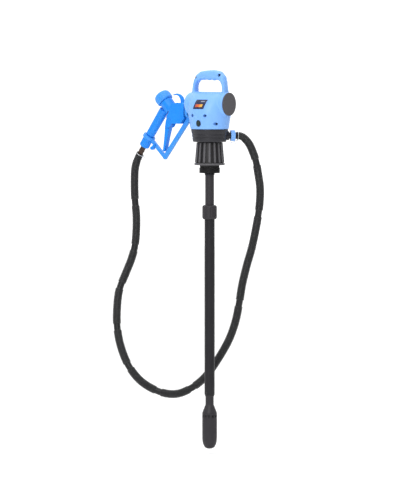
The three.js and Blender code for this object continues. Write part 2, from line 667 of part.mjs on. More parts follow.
// ---------- nozzle holder on the rear shell ----------
const pad = loft([HOLDER_Z0 - 2, HOLDER_Z1 + 2].map((z) => [
  holderPoint(45, -20, z), holderPoint(HOLDER_FACE, -20, z), holderPoint(HOLDER_FACE, 20, z),
  holderPoint(45, 20, z),
]));
const holderReach = Math.hypot(SPOUT_X, NOZZLE_Y);
const RING_DROP = 16; // the ring sits lower than the pad
const arm = loft([[50, 0], [holderReach, RING_DROP]].map(([out, drop]) => [
  holderPoint(out, -6, HOLDER_Z0 - drop), holderPoint(out, 6, HOLDER_Z0 - drop),
  holderPoint(out, 6, HOLDER_Z1 - drop), holderPoint(out, -6, HOLDER_Z1 - drop),
]));
const holderBore = rod(SPOUT_R + 0.5, inPlane(SPOUT_X, 80), inPlane(SPOUT_X, 130), 16);
const holder = pad
  .add(arm)
  .add(rod(17, inPlane(SPOUT_X, HOLDER_Z0 - RING_DROP), inPlane(SPOUT_X, HOLDER_Z1 - RING_DROP), 16))
  .subtract(holderBore)
  .subtract(headLoft(GAP, 28))
  .subtract(holderHoles);
part('nozzle_holder', holder, black);
[-HOLDER_SCREW_SIDE, HOLDER_SCREW_SIDE].forEach((side, i) => {
  const profile = [
    [0, 0], [SCREW_R, 2], [SCREW_R, 20], [SCREW_HEAD_R, 20], [SCREW_HEAD_R, 21.6], [2.7, 22.6], [0, 22.6],
  ];
  const start = holderPoint(HOLDER_FACE + GAP - 20, side, holderScrewZ);
  part(`holder_screw_${i + 1}`, turned(profile, start, holderOut, 8), steel);
});

// ---------- hose ----------
// Hand-laid route from the outlet barb, down, behind the suction tube and up to the nozzle.
const HOSE_ROUTE = [
  [68, 68, 82], [81, 81, 64], [89, 92, 38], [94, 101, 10], [97, 108, -25], [99, 115, -65],
  [96, 119, -103], [90, 121, -140], [80, 121, -190], [68, 118, -244], [54, 113, -295], [41, 109, -350],
  [31, 108, -405], [21, 105, -455], [3, 100, -507], [-24, 89, -560], [-62, 70, -620], [-96, 55, -651],
  [-134, 38, -670], [-167, 25, -671], [-207, 11, -658], [-248, 1, -632], [-284, -4, -590], [-311, -5, -533],
  [-325, -2, -477], [-330, 5, -425], [-329, 15, -372], [-317, 31, -323], [-307, 45, -283], [-301, 54, -246],
  [-299, 59, -200], [-300, 61, -155], [-305, 61, -105], [-307, 62, -55], [-306, 64, -15], [-299, 65, 9],
];
const hosePoints = [
  outletPoint(HOSE_START),
  outletPoint(HOSE_START + 4),
  ...HOSE_ROUTE.map(([x, y, z]) => vec(x, y, z)),
  onGrip(-70),
  onGrip(-65.8),
];
part('hose', bar(hosePoints, HOSE_R, 8, 60), rubber);

// Each wire clamp is a ring with two twisted-off tails.
function ringPoints(centre, axis, r, count) {
  const side = vec(0, 0, 1).cross(axis).normalize();
  const up = vec(0, 0, 0).crossVectors(axis, side);
  const points = [];
  for (let i = 0; i <= count; i += 1) {
    const turn = -Math.PI / 2 + 0.12 + ((2 * Math.PI - 0.24) * i) / count;
    const point = centre.clone()
      .addScaledVector(side, r * Math.cos(turn))
      .addScaledVector(up, r * Math.sin(turn));
    points.push(point);
  }
  return points;
}
const WIRE_R = 0.9;
const CLAMP_R = 13.1;
const outletRing = ringPoints(outletPoint(83), outletOut, CLAMP_R, 14);
const outletTails = [
  outletPoint(60, 63.5), outletPoint(68, 65.5), outletPoint(77, 69), ...outletRing,
  outletPoint(82, 66), outletPoint(76, 60.5), outletPoint(72, 56.5),
];
part('outlet_hose_clamp', bar(outletTails, WIRE_R, 4, 34), steel);
const nozzleRing = ringPoints(onGrip(-61.5), gripAxis, CLAMP_R - 1, 14);
const ringLow = nozzleRing[0];
const nozzleTails = [
  ringLow.clone().add(vec(14, -6, -13)), ringLow.clone().add(vec(9, -4, -5)), ...nozzleRing,
  ringLow.clone().add(vec(2, -5, -6)), ringLow.clone().add(vec(3, -7, -15)),
];
part('nozzle_hose_clamp', bar(nozzleTails, WIRE_R, 4, 32), steel);

export default group;
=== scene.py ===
import math

import bmesh
import bpy
from mathutils import Matrix, Vector


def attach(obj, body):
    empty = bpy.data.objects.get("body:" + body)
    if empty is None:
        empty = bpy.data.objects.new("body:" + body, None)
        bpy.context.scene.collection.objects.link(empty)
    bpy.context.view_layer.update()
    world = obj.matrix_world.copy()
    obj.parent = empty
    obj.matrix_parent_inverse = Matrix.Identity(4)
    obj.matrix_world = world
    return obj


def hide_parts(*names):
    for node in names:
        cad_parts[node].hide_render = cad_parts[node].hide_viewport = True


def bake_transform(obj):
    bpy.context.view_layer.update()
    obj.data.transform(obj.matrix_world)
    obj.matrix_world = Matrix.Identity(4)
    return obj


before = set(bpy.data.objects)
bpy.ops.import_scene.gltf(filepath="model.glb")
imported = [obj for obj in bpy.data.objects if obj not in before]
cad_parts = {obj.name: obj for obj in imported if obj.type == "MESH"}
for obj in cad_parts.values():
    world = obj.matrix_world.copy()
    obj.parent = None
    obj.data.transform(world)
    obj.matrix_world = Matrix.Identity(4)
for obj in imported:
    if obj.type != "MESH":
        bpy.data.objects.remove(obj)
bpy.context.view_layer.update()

MM = 0.001


# ---------------------------------------------------------------- camera
VIEW_AZIMUTH, VIEW_ELEVATION = 34, 2.5
VIEW_DISTANCE = 20.0
VIEW_SIDEWAYS, VIEW_HEIGHT = -0.0119, -0.2465
# Half the view's height at the object in metres, and half the sensor's in mm.
HALF_VIEW = 0.725
HALF_SENSOR = 18


def make_camera():
    azimuth, elevation = math.radians(VIEW_AZIMUTH), math.radians(VIEW_ELEVATION)
    right = Vector((math.cos(azimuth), math.sin(azimuth), 0))
    back = Vector((
        math.sin(azimuth) * math.cos(elevation),
        -math.cos(azimuth) * math.cos(elevation),
        math.sin(elevation),
    ))
    aim = right * VIEW_SIDEWAYS + Vector((0, 0, VIEW_HEIGHT))
    data = bpy.data.cameras.new("camera")
    data.lens = HALF_SENSOR / (HALF_VIEW / VIEW_DISTANCE)
    data.clip_end = 100
    camera = bpy.data.objects.new("camera", data)
    camera.location = aim + back * VIEW_DISTANCE
    camera.rotation_mode = "QUATERNION"
    camera.rotation_quaternion = (-back).to_track_quat("-Z", "Y")
    bpy.context.collection.objects.link(camera)
    bpy.context.scene.camera = camera


make_camera()


# ---------------------------------------------------------------- mesh tools
def object_from(name, bm, sharp=34):
    bmesh.ops.remove_doubles(bm, verts=bm.verts, dist=1e-6)
    bmesh.ops.recalc_face_normals(bm, faces=bm.faces)
    mesh = bpy.data.meshes.new(name)
    bm.to_mesh(mesh)
    bm.free()
    obj = bpy.data.objects.new(name, mesh)
    bpy.context.collection.objects.link(obj)
    shade(obj, sharp)
    return obj


def shade(obj, sharp=34):
    bm = bmesh.new()
    bm.from_mesh(obj.data)
    limit = math.radians(sharp)
    for face in bm.faces:
        face.smooth = True
    for edge in bm.edges:
        edge.smooth = len(edge.link_faces) != 2 or edge.calc_face_angle(0) < limit
    bm.to_mesh(obj.data)
    bm.free()


def rounded(profile, radius=0.8, steps=3):
    """An open chain of (r, z) points with its inner corners rounded, in mm."""
    out = [profile[0]]
    for before, corner, after in zip(profile, profile[1:], profile[2:]):
        b, c, a = Vector(before), Vector(corner), Vector(after)
        cut = min(radius, (b - c).length * 0.45, (a - c).length * 0.45)
        start = c + (b - c).normalized() * cut
        end = c + (a - c).normalized() * cut
        for i in range(steps + 1):
            t = i / steps
            p = start * (1 - t) ** 2 + c * 2 * t * (1 - t) + end * t * t
            out.append((p.x, p.y))
    out.append(profile[-1])
    return out


def axis_matrix(origin, direction):
    """Maps local +Z to direction and the local origin to origin, both in mm."""
    turn = Vector(direction).normalized().to_track_quat("Z", "Y").to_matrix().to_4x4()
    return Matrix.Translation(Vector(origin) * MM) @ turn


UP = Matrix.Identity(4)


def lathe_mesh(bm, profile, sides, matrix=UP, shape=None, closed=False):
    """Turns (r, z) points round local Z. shape(angle, r, z) gives (r, z) for relief round the axis."""
    rings = []
    for r, z in profile:
        ring = []
        if r < 1e-6:
            ring = [bm.verts.new(matrix @ Vector((0, 0, z * MM)))]
        else:
            for i in range(sides):
                angle = 2 * math.pi * i / sides
                rr, zz = shape(angle, r, z) if shape else (r, z)
                point = Vector((rr * math.cos(angle), rr * math.sin(angle), zz)) * MM
                ring.append(bm.verts.new(matrix @ point))
        rings.append(ring)
    pairs = list(zip(rings, rings[1:]))
    if closed:
        pairs.append((rings[-1], rings[0]))
    for low, high in pairs:
        for i in range(sides):
            j = (i + 1) % sides
            quad = [low[i % len(low)], low[j % len(low)], high[j % len(high)], high[i % len(high)]]
            corners = list(dict.fromkeys(quad))
            if len(corners) > 2:
                bm.faces.new(corners)


def lathe(name, profile, sides=64, matrix=UP, shape=None, closed=False, sharp=34):
    bm = bmesh.new()
    lathe_mesh(bm, profile, sides, matrix, shape, closed)
    return object_from(name, bm, sharp)


def skin(bm, rings, cap=True):
    """Quads between rings of points in mm, closed at both ends with a fan."""
    made = [[bm.verts.new(Vector(p) * MM) for p in ring] for ring in rings]
    count = len(made[0])
    for low, high in zip(made, made[1:]):
        for i in range(count):
            j = (i + 1) % count
            bm.faces.new([low[i], low[j], high[j], high[i]])
    if cap:
        for ring in (made[0], made[-1]):
            middle = sum((v.co for v in ring), Vector()) / count
            centre = bm.verts.new(middle)
            for i in range(count):
                bm.faces.new([ring[i], ring[(i + 1) % count], centre])


def smooth_path(points, spacing):
    """Evenly spaced points on a centripetal Catmull-Rom curve through points, in mm."""
    pts = [Vector(p) for p in points]
    pts = [pts[0] * 2 - pts[1]] + pts + [pts[-1] * 2 - pts[-2]]
    fine = []
    for p0, p1, p2, p3 in zip(pts, pts[1:], pts[2:], pts[3:]):
        t0 = 0.0
        t1 = t0 + (p1 - p0).length ** 0.5
        t2 = t1 + (p2 - p1).length ** 0.5
        t3 = t2 + (p3 - p2).length ** 0.5
        for i in range(24):
            t = t1 + (t2 - t1) * i / 24
            a1 = p0 * ((t1 - t) / (t1 - t0)) + p1 * ((t - t0) / (t1 - t0))
            a2 = p1 * ((t2 - t) / (t2 - t1)) + p2 * ((t - t1) / (t2 - t1))
            a3 = p2 * ((t3 - t) / (t3 - t2)) + p3 * ((t - t2) / (t3 - t2))
            b1 = a1 * ((t2 - t) / (t2 - t0)) + a2 * ((t - t0) / (t2 - t0))
            b2 = a2 * ((t3 - t) / (t3 - t1)) + a3 * ((t - t1) / (t3 - t1))
            fine.append(b1 * ((t2 - t) / (t2 - t1)) + b2 * ((t - t1) / (t2 - t1)))
    fine.append(pts[-2])
    lengths = [0.0]
    for a, b in zip(fine, fine[1:]):
        lengths.append(lengths[-1] + (b - a).length)
    count = max(2, round(lengths[-1] / spacing))
    out, k = [], 0
    for i in range(count + 1):
        want = lengths[-1] * i / count
        while k + 2 < len(fine) and lengths[k + 1] < want:
            k += 1
        step = lengths[k + 1] - lengths[k]
        t = 0 if step < 1e-9 else min(1, (want - lengths[k]) / step)
        out.append(fine[k].lerp(fine[k + 1], t))
    return out, lengths[-1]


def path_frames(path):
    """A tangent and two sides at each point, carried along without twist."""
    frames = []
    side = None
    for i, point in enumerate(path):
        ahead = path[min(i + 1, len(path) - 1)]
        behind = path[max(i - 1, 0)]
        tangent = (ahead - behind).normalized()
        if side is None:
            side = tangent.orthogonal().normalized()
        side = (side - tangent * side.dot(tangent)).normalized()
        frames.append((point, tangent, side, tangent.cross(side)))
    return frames


def tube_rings(path, radius, sides):
    """Rings along path; radius is a number or a function of (index, angle)."""
    rings = []
    for k, (point, _, a, b) in enumerate(path_frames(path)):
        ring = []
        for i in range(sides):
            angle = 2 * math.pi * i / sides
            r = radius(k, angle) if callable(radius) else radius
            ring.append(point + a * (r * math.cos(angle)) + b * (r * math.sin(angle)))
        rings.append(ring)
    return rings


def prism(bm, outline, y0, y1):
    """An outline of (x, z) in mm, thick from y0 to y1."""
    near = [bm.verts.new(Vector((x, y0, z)) * MM) for x, z in outline]
    far = [bm.verts.new(Vector((x, y1, z)) * MM) for x, z in outline]
    count = len(outline)
    for i in range(count):
        j = (i + 1) % count
        bm.faces.new([near[i], near[j], far[j], far[i]])
    bm.faces.new(near)
    bm.faces.new(list(reversed(far)))


def evaluated(obj):
    depsgraph = bpy.context.evaluated_depsgraph_get()
    depsgraph.update()
    mesh = bpy.data.meshes.new_from_object(obj.evaluated_get(depsgraph))
    old = obj.data
    obj.modifiers.clear()
    obj.data = mesh
    bpy.data.meshes.remove(old)


def fuse(name, build, voxel, relax=4, sharp=180):
    """Overlapping closed solids made by build(bm), melted into one skin."""
    bm = bmesh.new()
    build(bm)
    obj = object_from(name, bm)
    remesh = obj.modifiers.new("remesh", "REMESH")
    remesh.mode = "VOXEL"
    remesh.voxel_size = voxel * MM
    remesh.adaptivity = 0
    soft = obj.modifiers.new("soft", "SMOOTH")
    soft.factor = 0.5
    soft.iterations = relax
    evaluated(obj)
    shade(obj, sharp)
    return obj


def cut(obj, build, sharp=40):
    """Takes the closed solids made by build(bm) out of obj."""
    bm = bmesh.new()
    build(bm)
    tool = object_from("tool", bm)
    boolean = obj.modifiers.new("cut", "BOOLEAN")
    boolean.operation = "DIFFERENCE"
    boolean.solver = "EXACT"
    boolean.object = tool
    evaluated(obj)
    bpy.data.objects.remove(tool)
    shade(obj, sharp)


def bevelled(obj, width, segments=2, angle=30):
    bevel = obj.modifiers.new("bevel", "BEVEL")
    bevel.width = width * MM
    bevel.segments = segments
    bevel.limit_method = "ANGLE"
    bevel.angle_limit = math.radians(angle)
    bevel.harden_normals = False
    evaluated(obj)
    shade(obj)


def settle(obj, body, slot_name, material, *nodes):
    """Gives a finished piece its material, its body and the CAD nodes it stands for."""
    obj.data.materials.clear()
    obj.data.materials.append(material)
    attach(obj, body)
    if nodes:
        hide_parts(*nodes)
    return obj


# ---------------------------------------------------------------- materials
def nodes_of(name):
    mat = bpy.data.materials.new(name)
    mat.use_nodes = True
    tree = mat.node_tree
    return mat, tree, tree.nodes["Principled BSDF"]


def coords(tree, scale):
    where = tree.nodes.new("ShaderNodeTexCoord")
    mapping = tree.nodes.new("ShaderNodeMapping")
    mapping.inputs["Scale"].default_value = scale
    tree.links.new(where.outputs["Object"], mapping.inputs["Vector"])
    return mapping.outputs["Vector"]


def noise(tree, scale, detail=3.0, stretch=(1, 1, 1)):
    node = tree.nodes.new("ShaderNodeTexNoise")
    node.inputs["Scale"].default_value = scale
    node.inputs["Detail"].default_value = detail
    tree.links.new(coords(tree, stretch), node.inputs["Vector"])
    return node.outputs["Fac"]


def ramp(tree, factor, stops):
    node = tree.nodes.new("ShaderNodeValToRGB")
    tree.links.new(factor, node.inputs["Fac"])
    elements = node.color_ramp.elements
    while len(elements) < len(stops):
        elements.new(0.5)
    for element, (place, value) in zip(elements, stops):
        element.position = place
        element.color = (value, value, value, 1) if isinstance(value, float) else (*value, 1)
    return node.outputs["Color"]


def mix(tree, factor, a, b):
    node = tree.nodes.new("ShaderNodeMix")
    node.data_type = "RGBA"
    tree.links.new(factor, node.inputs["Factor"])
    for key, value in (("A", a), ("B", b)):
        socket = next(s for s in node.inputs if s.name == key and s.type == "RGBA")
        if isinstance(value, tuple):
            socket.default_value = (*value, 1)
        else:
            tree.links.new(value, socket)
    return next(s for s in node.outputs if s.type == "RGBA")


def bump(tree, shader, height, strength, distance):
    node = tree.nodes.new("ShaderNodeBump")
    node.inputs["Strength"].default_value = strength
    node.inputs["Distance"].default_value = distance
    tree.links.new(height, node.inputs["Height"])
    tree.links.new(node.outputs["Normal"], shader.inputs["Normal"])


def moulded(name, colour, rough=0.4, spread=0.12, grain=900, grain_depth=0.00004, wear=0.35, metal=0.0,
            shine=0.5):
    """A moulded surface: slow colour drift, patchy gloss, fine grain and paler rubbed edges."""
    mat, tree, shader = nodes_of(name)
    dark = tuple(c * (1 - spread) for c in colour)
    light = tuple(min(1, c * (1 + spread)) for c in colour)
    base = mix(tree, noise(tree, 14, 4), dark, light)
    geometry = tree.nodes.new("ShaderNodeNewGeometry")
    edge = ramp(tree, geometry.outputs["Pointiness"], [(0.53, 0.0), (0.62, 1.0)])
    scuffs = ramp(tree, noise(tree, 160, 5), [(0.45, 0.0), (0.7, 1.0)])
    both = tree.nodes.new("ShaderNodeMath")
    both.operation = "MULTIPLY"
    tree.links.new(edge, both.inputs[0])
    tree.links.new(scuffs, both.inputs[1])
    amount = tree.nodes.new("ShaderNodeMath")
    amount.operation = "MULTIPLY"
    amount.inputs[1].default_value = wear
    tree.links.new(both.outputs[0], amount.inputs[0])
    pale = tuple(min(1, c * 0.6 + 0.25) for c in colour)
    tree.links.new(mix(tree, amount.outputs[0], base, pale), shader.inputs["Base Color"])
    gloss = ramp(tree, noise(tree, 55, 5), [(0.3, rough - 0.05), (0.75, rough + 0.09)])
    tree.links.new(gloss, shader.inputs["Roughness"])
    shader.inputs["Metallic"].default_value = metal
    shader.inputs["Specular IOR Level"].default_value = shine
    bump(tree, shader, noise(tree, grain, 2), 0.35, grain_depth)
    return mat


def drawn_metal(name, colour, rough=0.3, stretch=(1, 1, 12)):
    mat, tree, shader = nodes_of(name)
    lines = noise(tree, 260, 4, stretch)
    dark = tuple(c * 0.8 for c in colour)
    tree.links.new(mix(tree, lines, dark, colour), shader.inputs["Base Color"])
    gloss = ramp(tree, lines, [(0.3, rough - 0.08), (0.7, rough + 0.12)])
    tree.links.new(gloss, shader.inputs["Roughness"])
    shader.inputs["Metallic"].default_value = 1
    bump(tree, shader, lines, 0.25, 0.00003)
    return mat


BLUE = moulded("blue_plastic", (0.008, 0.225, 0.76), 0.4, 0.07, shine=0.35)
HEAD_BLUE = moulded("head_blue_plastic", (0.18, 0.4, 0.84), 0.42, 0.05, shine=0.4)
PALE_BLUE = moulded("pale_blue_plastic", (0.04, 0.27, 0.76), 0.38, 0.08, shine=0.4)
BLACK = moulded("black_plastic", (0.024, 0.022, 0.026), 0.5, 0.2, 1300, 0.00006, shine=0.3)
TUBE_BLACK = moulded("tube_plastic", (0.014, 0.0135, 0.016), 0.42, 0.2, 1300, 0.00004, shine=0.22)
COLLAR_BLACK = moulded("collar_plastic", (0.02, 0.02, 0.025), 0.42, 0.18, 1100, 0.00006, shine=0.3)
GREY = moulded("grey_plastic", (0.075, 0.072, 0.08), 0.55, 0.08, 1500, 0.00005, shine=0.2)
RUBBER = moulded("rubber", (0.022, 0.022, 0.023), 0.72, 0.25, 700, 0.0001, 0.2, shine=0.2)
BOOT = moulded("switch_rubber", (0.012, 0.028, 0.028), 0.5, 0.2, 900, 0.00005, 0.2, shine=0.3)
HOSE = moulded("hose_rubber", (0.014, 0.0145, 0.0155), 0.4, 0.25, 500, 0.0001, 0.5, shine=0.24)
BARB = moulded("barb_plastic", (0.045, 0.024, 0.014), 0.45, 0.25, shine=0.3)
STEEL = drawn_metal("plated_steel", (0.62, 0.63, 0.65))
# Near-black steel for the real screws and retaining ring: painted shade, so the screw pockets and the ring
# under the thread read dark.
SHADE_DARK_STEEL = drawn_metal("dark_steel_painted_shade", (0.03, 0.03, 0.035), 0.5)
WIRE = drawn_metal("clamp_wire", (0.78, 0.79, 0.8), 0.35)
BRASS = drawn_metal("brass", (0.72, 0.52, 0.24), 0.28)
BOARD = moulded("solder_mask", (0.02, 0.14, 0.06), 0.4, 0.2)
CELL = moulded("cell_sleeve", (0.28, 0.3, 0.33), 0.34, 0.15, 400, 0.00002)


def adaptor_material():
    """Black plastic with painted shade in the grooves between the ribs and a painted highlight on the rib
    tops.
    """
    mat, tree, shader = nodes_of("adaptor_plastic_painted_rib_light")
    where = tree.nodes.new("ShaderNodeTexCoord")
    flat = tree.nodes.new("ShaderNodeVectorMath")
    flat.operation = "MULTIPLY"
    flat.inputs[1].default_value = (1, 1, 0)
    tree.links.new(where.outputs["Object"], flat.inputs[0])
    radius = tree.nodes.new("ShaderNodeVectorMath")
    radius.operation = "LENGTH"
    tree.links.new(flat.outputs["Vector"], radius.inputs[0])
    split = tree.nodes.new("ShaderNodeSeparateXYZ")
    tree.links.new(where.outputs["Object"], split.inputs[0])
    cone = tree.nodes.new("ShaderNodeMath")
    cone.operation = "MULTIPLY_ADD"
    cone.inputs[1].default_value = 0.0864
    tree.links.new(split.outputs["Z"], cone.inputs[0])
    tree.links.new(radius.outputs["Value"], cone.inputs[2])
    span = tree.nodes.new("ShaderNodeMapRange")
    span.inputs["From Min"].default_value = 0.0403
    span.inputs["From Max"].default_value = 0.0434
    tree.links.new(cone.outputs[0], span.inputs["Value"])
    # Painted shade and highlight: the base colour is dark at the groove floors and pale on the rib crests.
    colour = mix(tree, span.outputs["Result"], (0.011, 0.0105, 0.012), (0.085, 0.083, 0.09))
    tree.links.new(colour, shader.inputs["Base Color"])
    gloss = ramp(tree, noise(tree, 55, 5), [(0.3, 0.4), (0.75, 0.55)])
    tree.links.new(gloss, shader.inputs["Roughness"])
    shader.inputs["Specular IOR Level"].default_value = 0.3
    bump(tree, shader, noise(tree, 1300, 2), 0.35, 0.00005)
    return mat


# ---------------------------------------------------------------- hose
OUT = Vector((math.cos(math.pi / 4), math.sin(math.pi / 4), 0))
OUTLET_Z = 85
NOZZLE_Y = 66
GRIP_LOW = Vector((-254, NOZZLE_Y, 82))
GRIP_AXIS = (Vector((-207, NOZZLE_Y, 154)) - GRIP_LOW).normalized()
HOSE_ROUTE = [
    (68, 68, 82), (81, 81, 64), (89, 92, 38), (94, 101, 10), (97, 108, -25), (99, 115, -65),
    (96, 119, -103), (90, 121, -140), (80, 121, -190), (68, 118, -244), (54, 113, -295), (41, 109, -350),
    (31, 108, -405), (21, 105, -455), (3, 100, -507), (-24, 89, -560), (-62, 70, -620), (-96, 55, -651),
    (-134, 38, -670), (-167, 25, -671), (-207, 11, -658), (-248, 1, -632), (-284, -4, -590),
    (-311, -5, -533), (-325, -2, -477), (-330, 5, -425), (-329, 15, -372), (-317, 31, -323),
    (-307, 45, -283), (-301, 54, -246), (-299, 59, -200), (-300, 61, -155), (-305, 61, -105),
    (-307, 62, -55), (-306, 64, -15), (-299, 65, 9),
]
HOSE_R = 11.2
FULL_R = 12.1
BARE_R = 9.9
# Distances along the hose where the sleeve stops and the bare hose shows, as (start, end).
BARE_GAPS = [
    (94, 116), (246, 268), (515, 537), (808, 830), (913, 935), (1033, 1055), (1155, 1177), (1278, 1300),
    (1397, 1419), (1530, 1552),
]


def outlet_point(out, z=OUTLET_Z):
    return OUT * out + Vector((0, 0, z))


def on_grip(s):
    return GRIP_LOW + GRIP_AXIS * s


def make_hose():
    points = [outlet_point(79.5), outlet_point(83.5)]
    points += [Vector(p) for p in HOSE_ROUTE]
    points += [on_grip(-70), on_grip(-65.8)]
    step = 0.62
    path, length = smooth_path(points, step)
    spacing = length / (len(path) - 1)
    pitch, dip, ripple = 3.7, 0.45, 0.55
    plain_end, fade, edge = 18, 12, 2.2

    def radius(k, _):
        s = k * spacing
        inside = min((min(s - a, b - s) for a, b in BARE_GAPS if a < s < b), default=0)
        ends = min(1, max(0, (min(s, length - s) - plain_end) / fade))
        sleeve = HOSE_R + (FULL_R - HOSE_R) * ends - dip + ripple * math.cos(2 * math.pi * s / pitch)
        if inside <= 0:
            return sleeve
        t = min(1, inside / edge)
        t = t * t * (3 - 2 * t)
        return sleeve * (1 - t) + BARE_R * t

    bm = bmesh.new()
    skin(bm, tube_rings(path, radius, 22))
    hose = object_from("hose_visual", bm, 70)
    hose.data.materials.append(HOSE)
    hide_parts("hose")
    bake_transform(hose)


def wire(name, points, radius=0.85):
    path, _ = smooth_path(points, 1.1)
    bm = bmesh.new()
    skin(bm, tube_rings(path, radius, 12))
    return object_from(name, bm, 60)


def clamp_ring(centre, axis, r, count=26):
    side = Vector((0, 0, 1)).cross(axis).normalized()
    up = Vector(axis).cross(side)
    points = []
    for i in range(count + 1):
        turn = -math.pi / 2 + 0.12 + (2 * math.pi - 0.24) * i / count
        points.append(centre + side * (r * math.cos(turn)) + up * (r * math.sin(turn)))
    return points


ring = clamp_ring(outlet_point(83), OUT, 12.1)
tails = [outlet_point(60, 63.5), outlet_point(68, 65.5), outlet_point(77, 69), *ring,
         outlet_point(82, 66), outlet_point(76, 60.5), outlet_point(72, 56.5)]
settle(wire("outlet_clamp_visual", tails), "pump_head", "steel", WIRE, "outlet_hose_clamp")
ring = clamp_ring(on_grip(-67), GRIP_AXIS, 12.1)
tails = [ring[0] + Vector((14, -6, -11)), ring[0] + Vector((9, -4, -4)), *ring,
         ring[-1] + Vector((2, -5, -6)), ring[-1] + Vector((3, -7, -13))]
settle(wire("nozzle_clamp_visual", tails), "nozzle", "steel", WIRE, "nozzle_hose_clamp")
make_hose()


# ---------------------------------------------------------------- head
BATTERY_Z = 177
HEAD_SECTIONS = [
    (104.8, 55.5, 55.5, 2.0), (110, 56.4, 56.4, 2.0), (124, 58.3, 58.3, 2.0), (136, 60.3, 60.2, 2.0),
    (142, 61.3, 61, 2.0), (150, 62, 61, 2.05), (164, 62, 58.5, 2.15), (178, 62, 54, 2.2),
    (190, 61, 47, 2.25), (200, 60, 38, 2.3), (208, 58.5, 28, 2.3), (212.3, 56.5, 18, 2.3),
]


def interpolate(table, z):
    """Smooth values between rows whose first entry rises."""
    rows = [table[0]] + list(table) + [table[-1]]
    k = 1
    while k + 2 < len(rows) - 1 and z > rows[k + 1][0]:
        k += 1
    r0, r1, r2, r3 = rows[k - 1], rows[k], rows[k + 1], rows[k + 2]
    t = min(1, max(0, (z - r1[0]) / (r2[0] - r1[0])))
    out = []
    for a0, a1, a2, a3 in zip(r0[1:], r1[1:], r2[1:], r3[1:]):
        slope1 = (a2 - a0) / max(1e-6, r2[0] - r0[0]) * (r2[0] - r1[0])
        slope2 = (a3 - a1) / max(1e-6, r3[0] - r1[0]) * (r2[0] - r1[0])
        h = t * t * (3 - 2 * t)
        out.append(
            a1 * (1 - h) + a2 * h + slope1 * t * (1 - t) ** 2 - slope2 * t * t * (1 - t)
        )
    return out


def oval_ring(z, a, b, n, sides, centre=(0, 0)):
    ring = []
    for i in range(sides):
        turn = 2 * math.pi * i / sides
        c, s = math.cos(turn), math.sin(turn)
        x = a * math.copysign(abs(c) ** (2 / n), c)
        y = b * math.copysign(abs(s) ** (2 / n), s)
        ring.append(Vector((centre[0] + x, centre[1] + y, z)))
    return ring


def head_rings(grow=0.0, sides=128, step=1.5):
    low, high = HEAD_SECTIONS[0][0], HEAD_SECTIONS[-1][0]
    count = int((high - low) / step)
    rings = []
    for i in range(count + 1):
        z = low + (high - low) * i / count
        a, b, n = interpolate(HEAD_SECTIONS, z)
        rings.append(oval_ring(z, a + grow, b + grow, n, sides))
    return rings


# Carrying handle: (x, z, half thickness in the arch's plane, half width along Y)
HANDLE = [
    (-49.5, 200, 8.5, 15), (-49.5, 208, 7.0, 14), (-49.5, 216, 5.9, 13), (-48.8, 226, 5.2, 12.6),
    (-46.8, 236, 5.3, 12.6), (-42.6, 245, 7.0, 12.8), (-34.5, 254.2, 10.6, 13), (-22, 259.4, 13.0, 13),
    (-3.5, 260.6, 14.2, 13), (17, 261, 14.9, 13), (33, 259.6, 13.6, 13), (43.6, 252.6, 11.0, 13),
    (49.6, 242.5, 7.6, 12.8), (52.6, 231, 5.7, 12.6), (54.2, 220, 5.4, 13), (54.6, 210, 6.8, 14),
    (54.6, 200, 8.5, 15),
]


def handle_rings():
    path, _ = smooth_path([(x, 0, z) for x, z, _, _ in HANDLE], 1.6)
    rings = []
    for k, point in enumerate(path):
        ahead = path[min(k + 1, len(path) - 1)]
        behind = path[max(k - 1, 0)]
        tangent = (ahead - behind).normalized()
        normal = Vector((-tangent.z, 0, tangent.x))
        order = sorted((((Vector((x, 0, z)) - point).length, t, w) for x, z, t, w in HANDLE))[:3]
        weight = [1 / (d + 0.5) ** 2 for d, _, _ in order]
        total = sum(weight)
        thick = sum(q * t for q, (_, t, _) in zip(weight, order)) / total
        width = sum(q * w for q, (_, _, w) in zip(weight, order)) / total
        grip = max(0.0, 1 - (abs(point.x) / 36) ** 6) if point.z > 250 else 0.0
        scallop = 1.3 * grip * math.cos(2 * math.pi * point.x / 18)
        ring = []
        for i in range(40):
            turn = 2 * math.pi * i / 40
            c, s = math.cos(turn), math.sin(turn)
            u = thick * math.copysign(abs(c) ** (2 / 2.7), c)
            v = width * math.copysign(abs(s) ** (2 / 2.7), s)
            if c < 0:
                u -= scallop * -c
            ring.append(point + normal * u + Vector((0, v, 0)))
        rings.append(ring)
    return rings


def build_head(bm):
    skin(bm, head_rings())
    skin(bm, handle_rings())
    barrel = rounded([
        (0, -71.5), (23, -71.2), (30, -69.4), (33.1, -65), (34, -58), (34, 65.7), (0, 65.7),
    ], 5, 4)
    lathe_mesh(bm, barrel, 96, axis_matrix((0, 0, BATTERY_Z), (1, 0, 0)))


SHELL_SCREWS = [(-21.5, 144.2, -44), (21.5, 144.2, -44), (-44.6, 120.5, -25), (44.6, 120.5, -25),
                (-42, 254, -5), (41, 261, -5)]
SWITCH_Z = 122
LABEL_OUTLINE = [(-21, 163.5), (16, 163.5), (24, 190.5), (-13, 190.5)]


def oval(half_width, half_height, z, sides=40):
    outline = []
    for i in range(sides):
        turn = 2 * math.pi * (i + 0.5) / sides
        lift = math.copysign(half_height - half_width, math.sin(turn))
        outline.append((half_width * math.cos(turn), z + half_width * math.sin(turn) + lift))
    return outline


def head_pockets(bm):
    for x, z, seat in SHELL_SCREWS:
        lathe_mesh(bm, [(0, 0), (4.6, 0), (4.6, 50), (0, 50)], 32, axis_matrix((x, seat, z), (0, -1, 0)))
    prism(bm, oval(7.7, 9.7, SWITCH_Z), -80, -56.4)


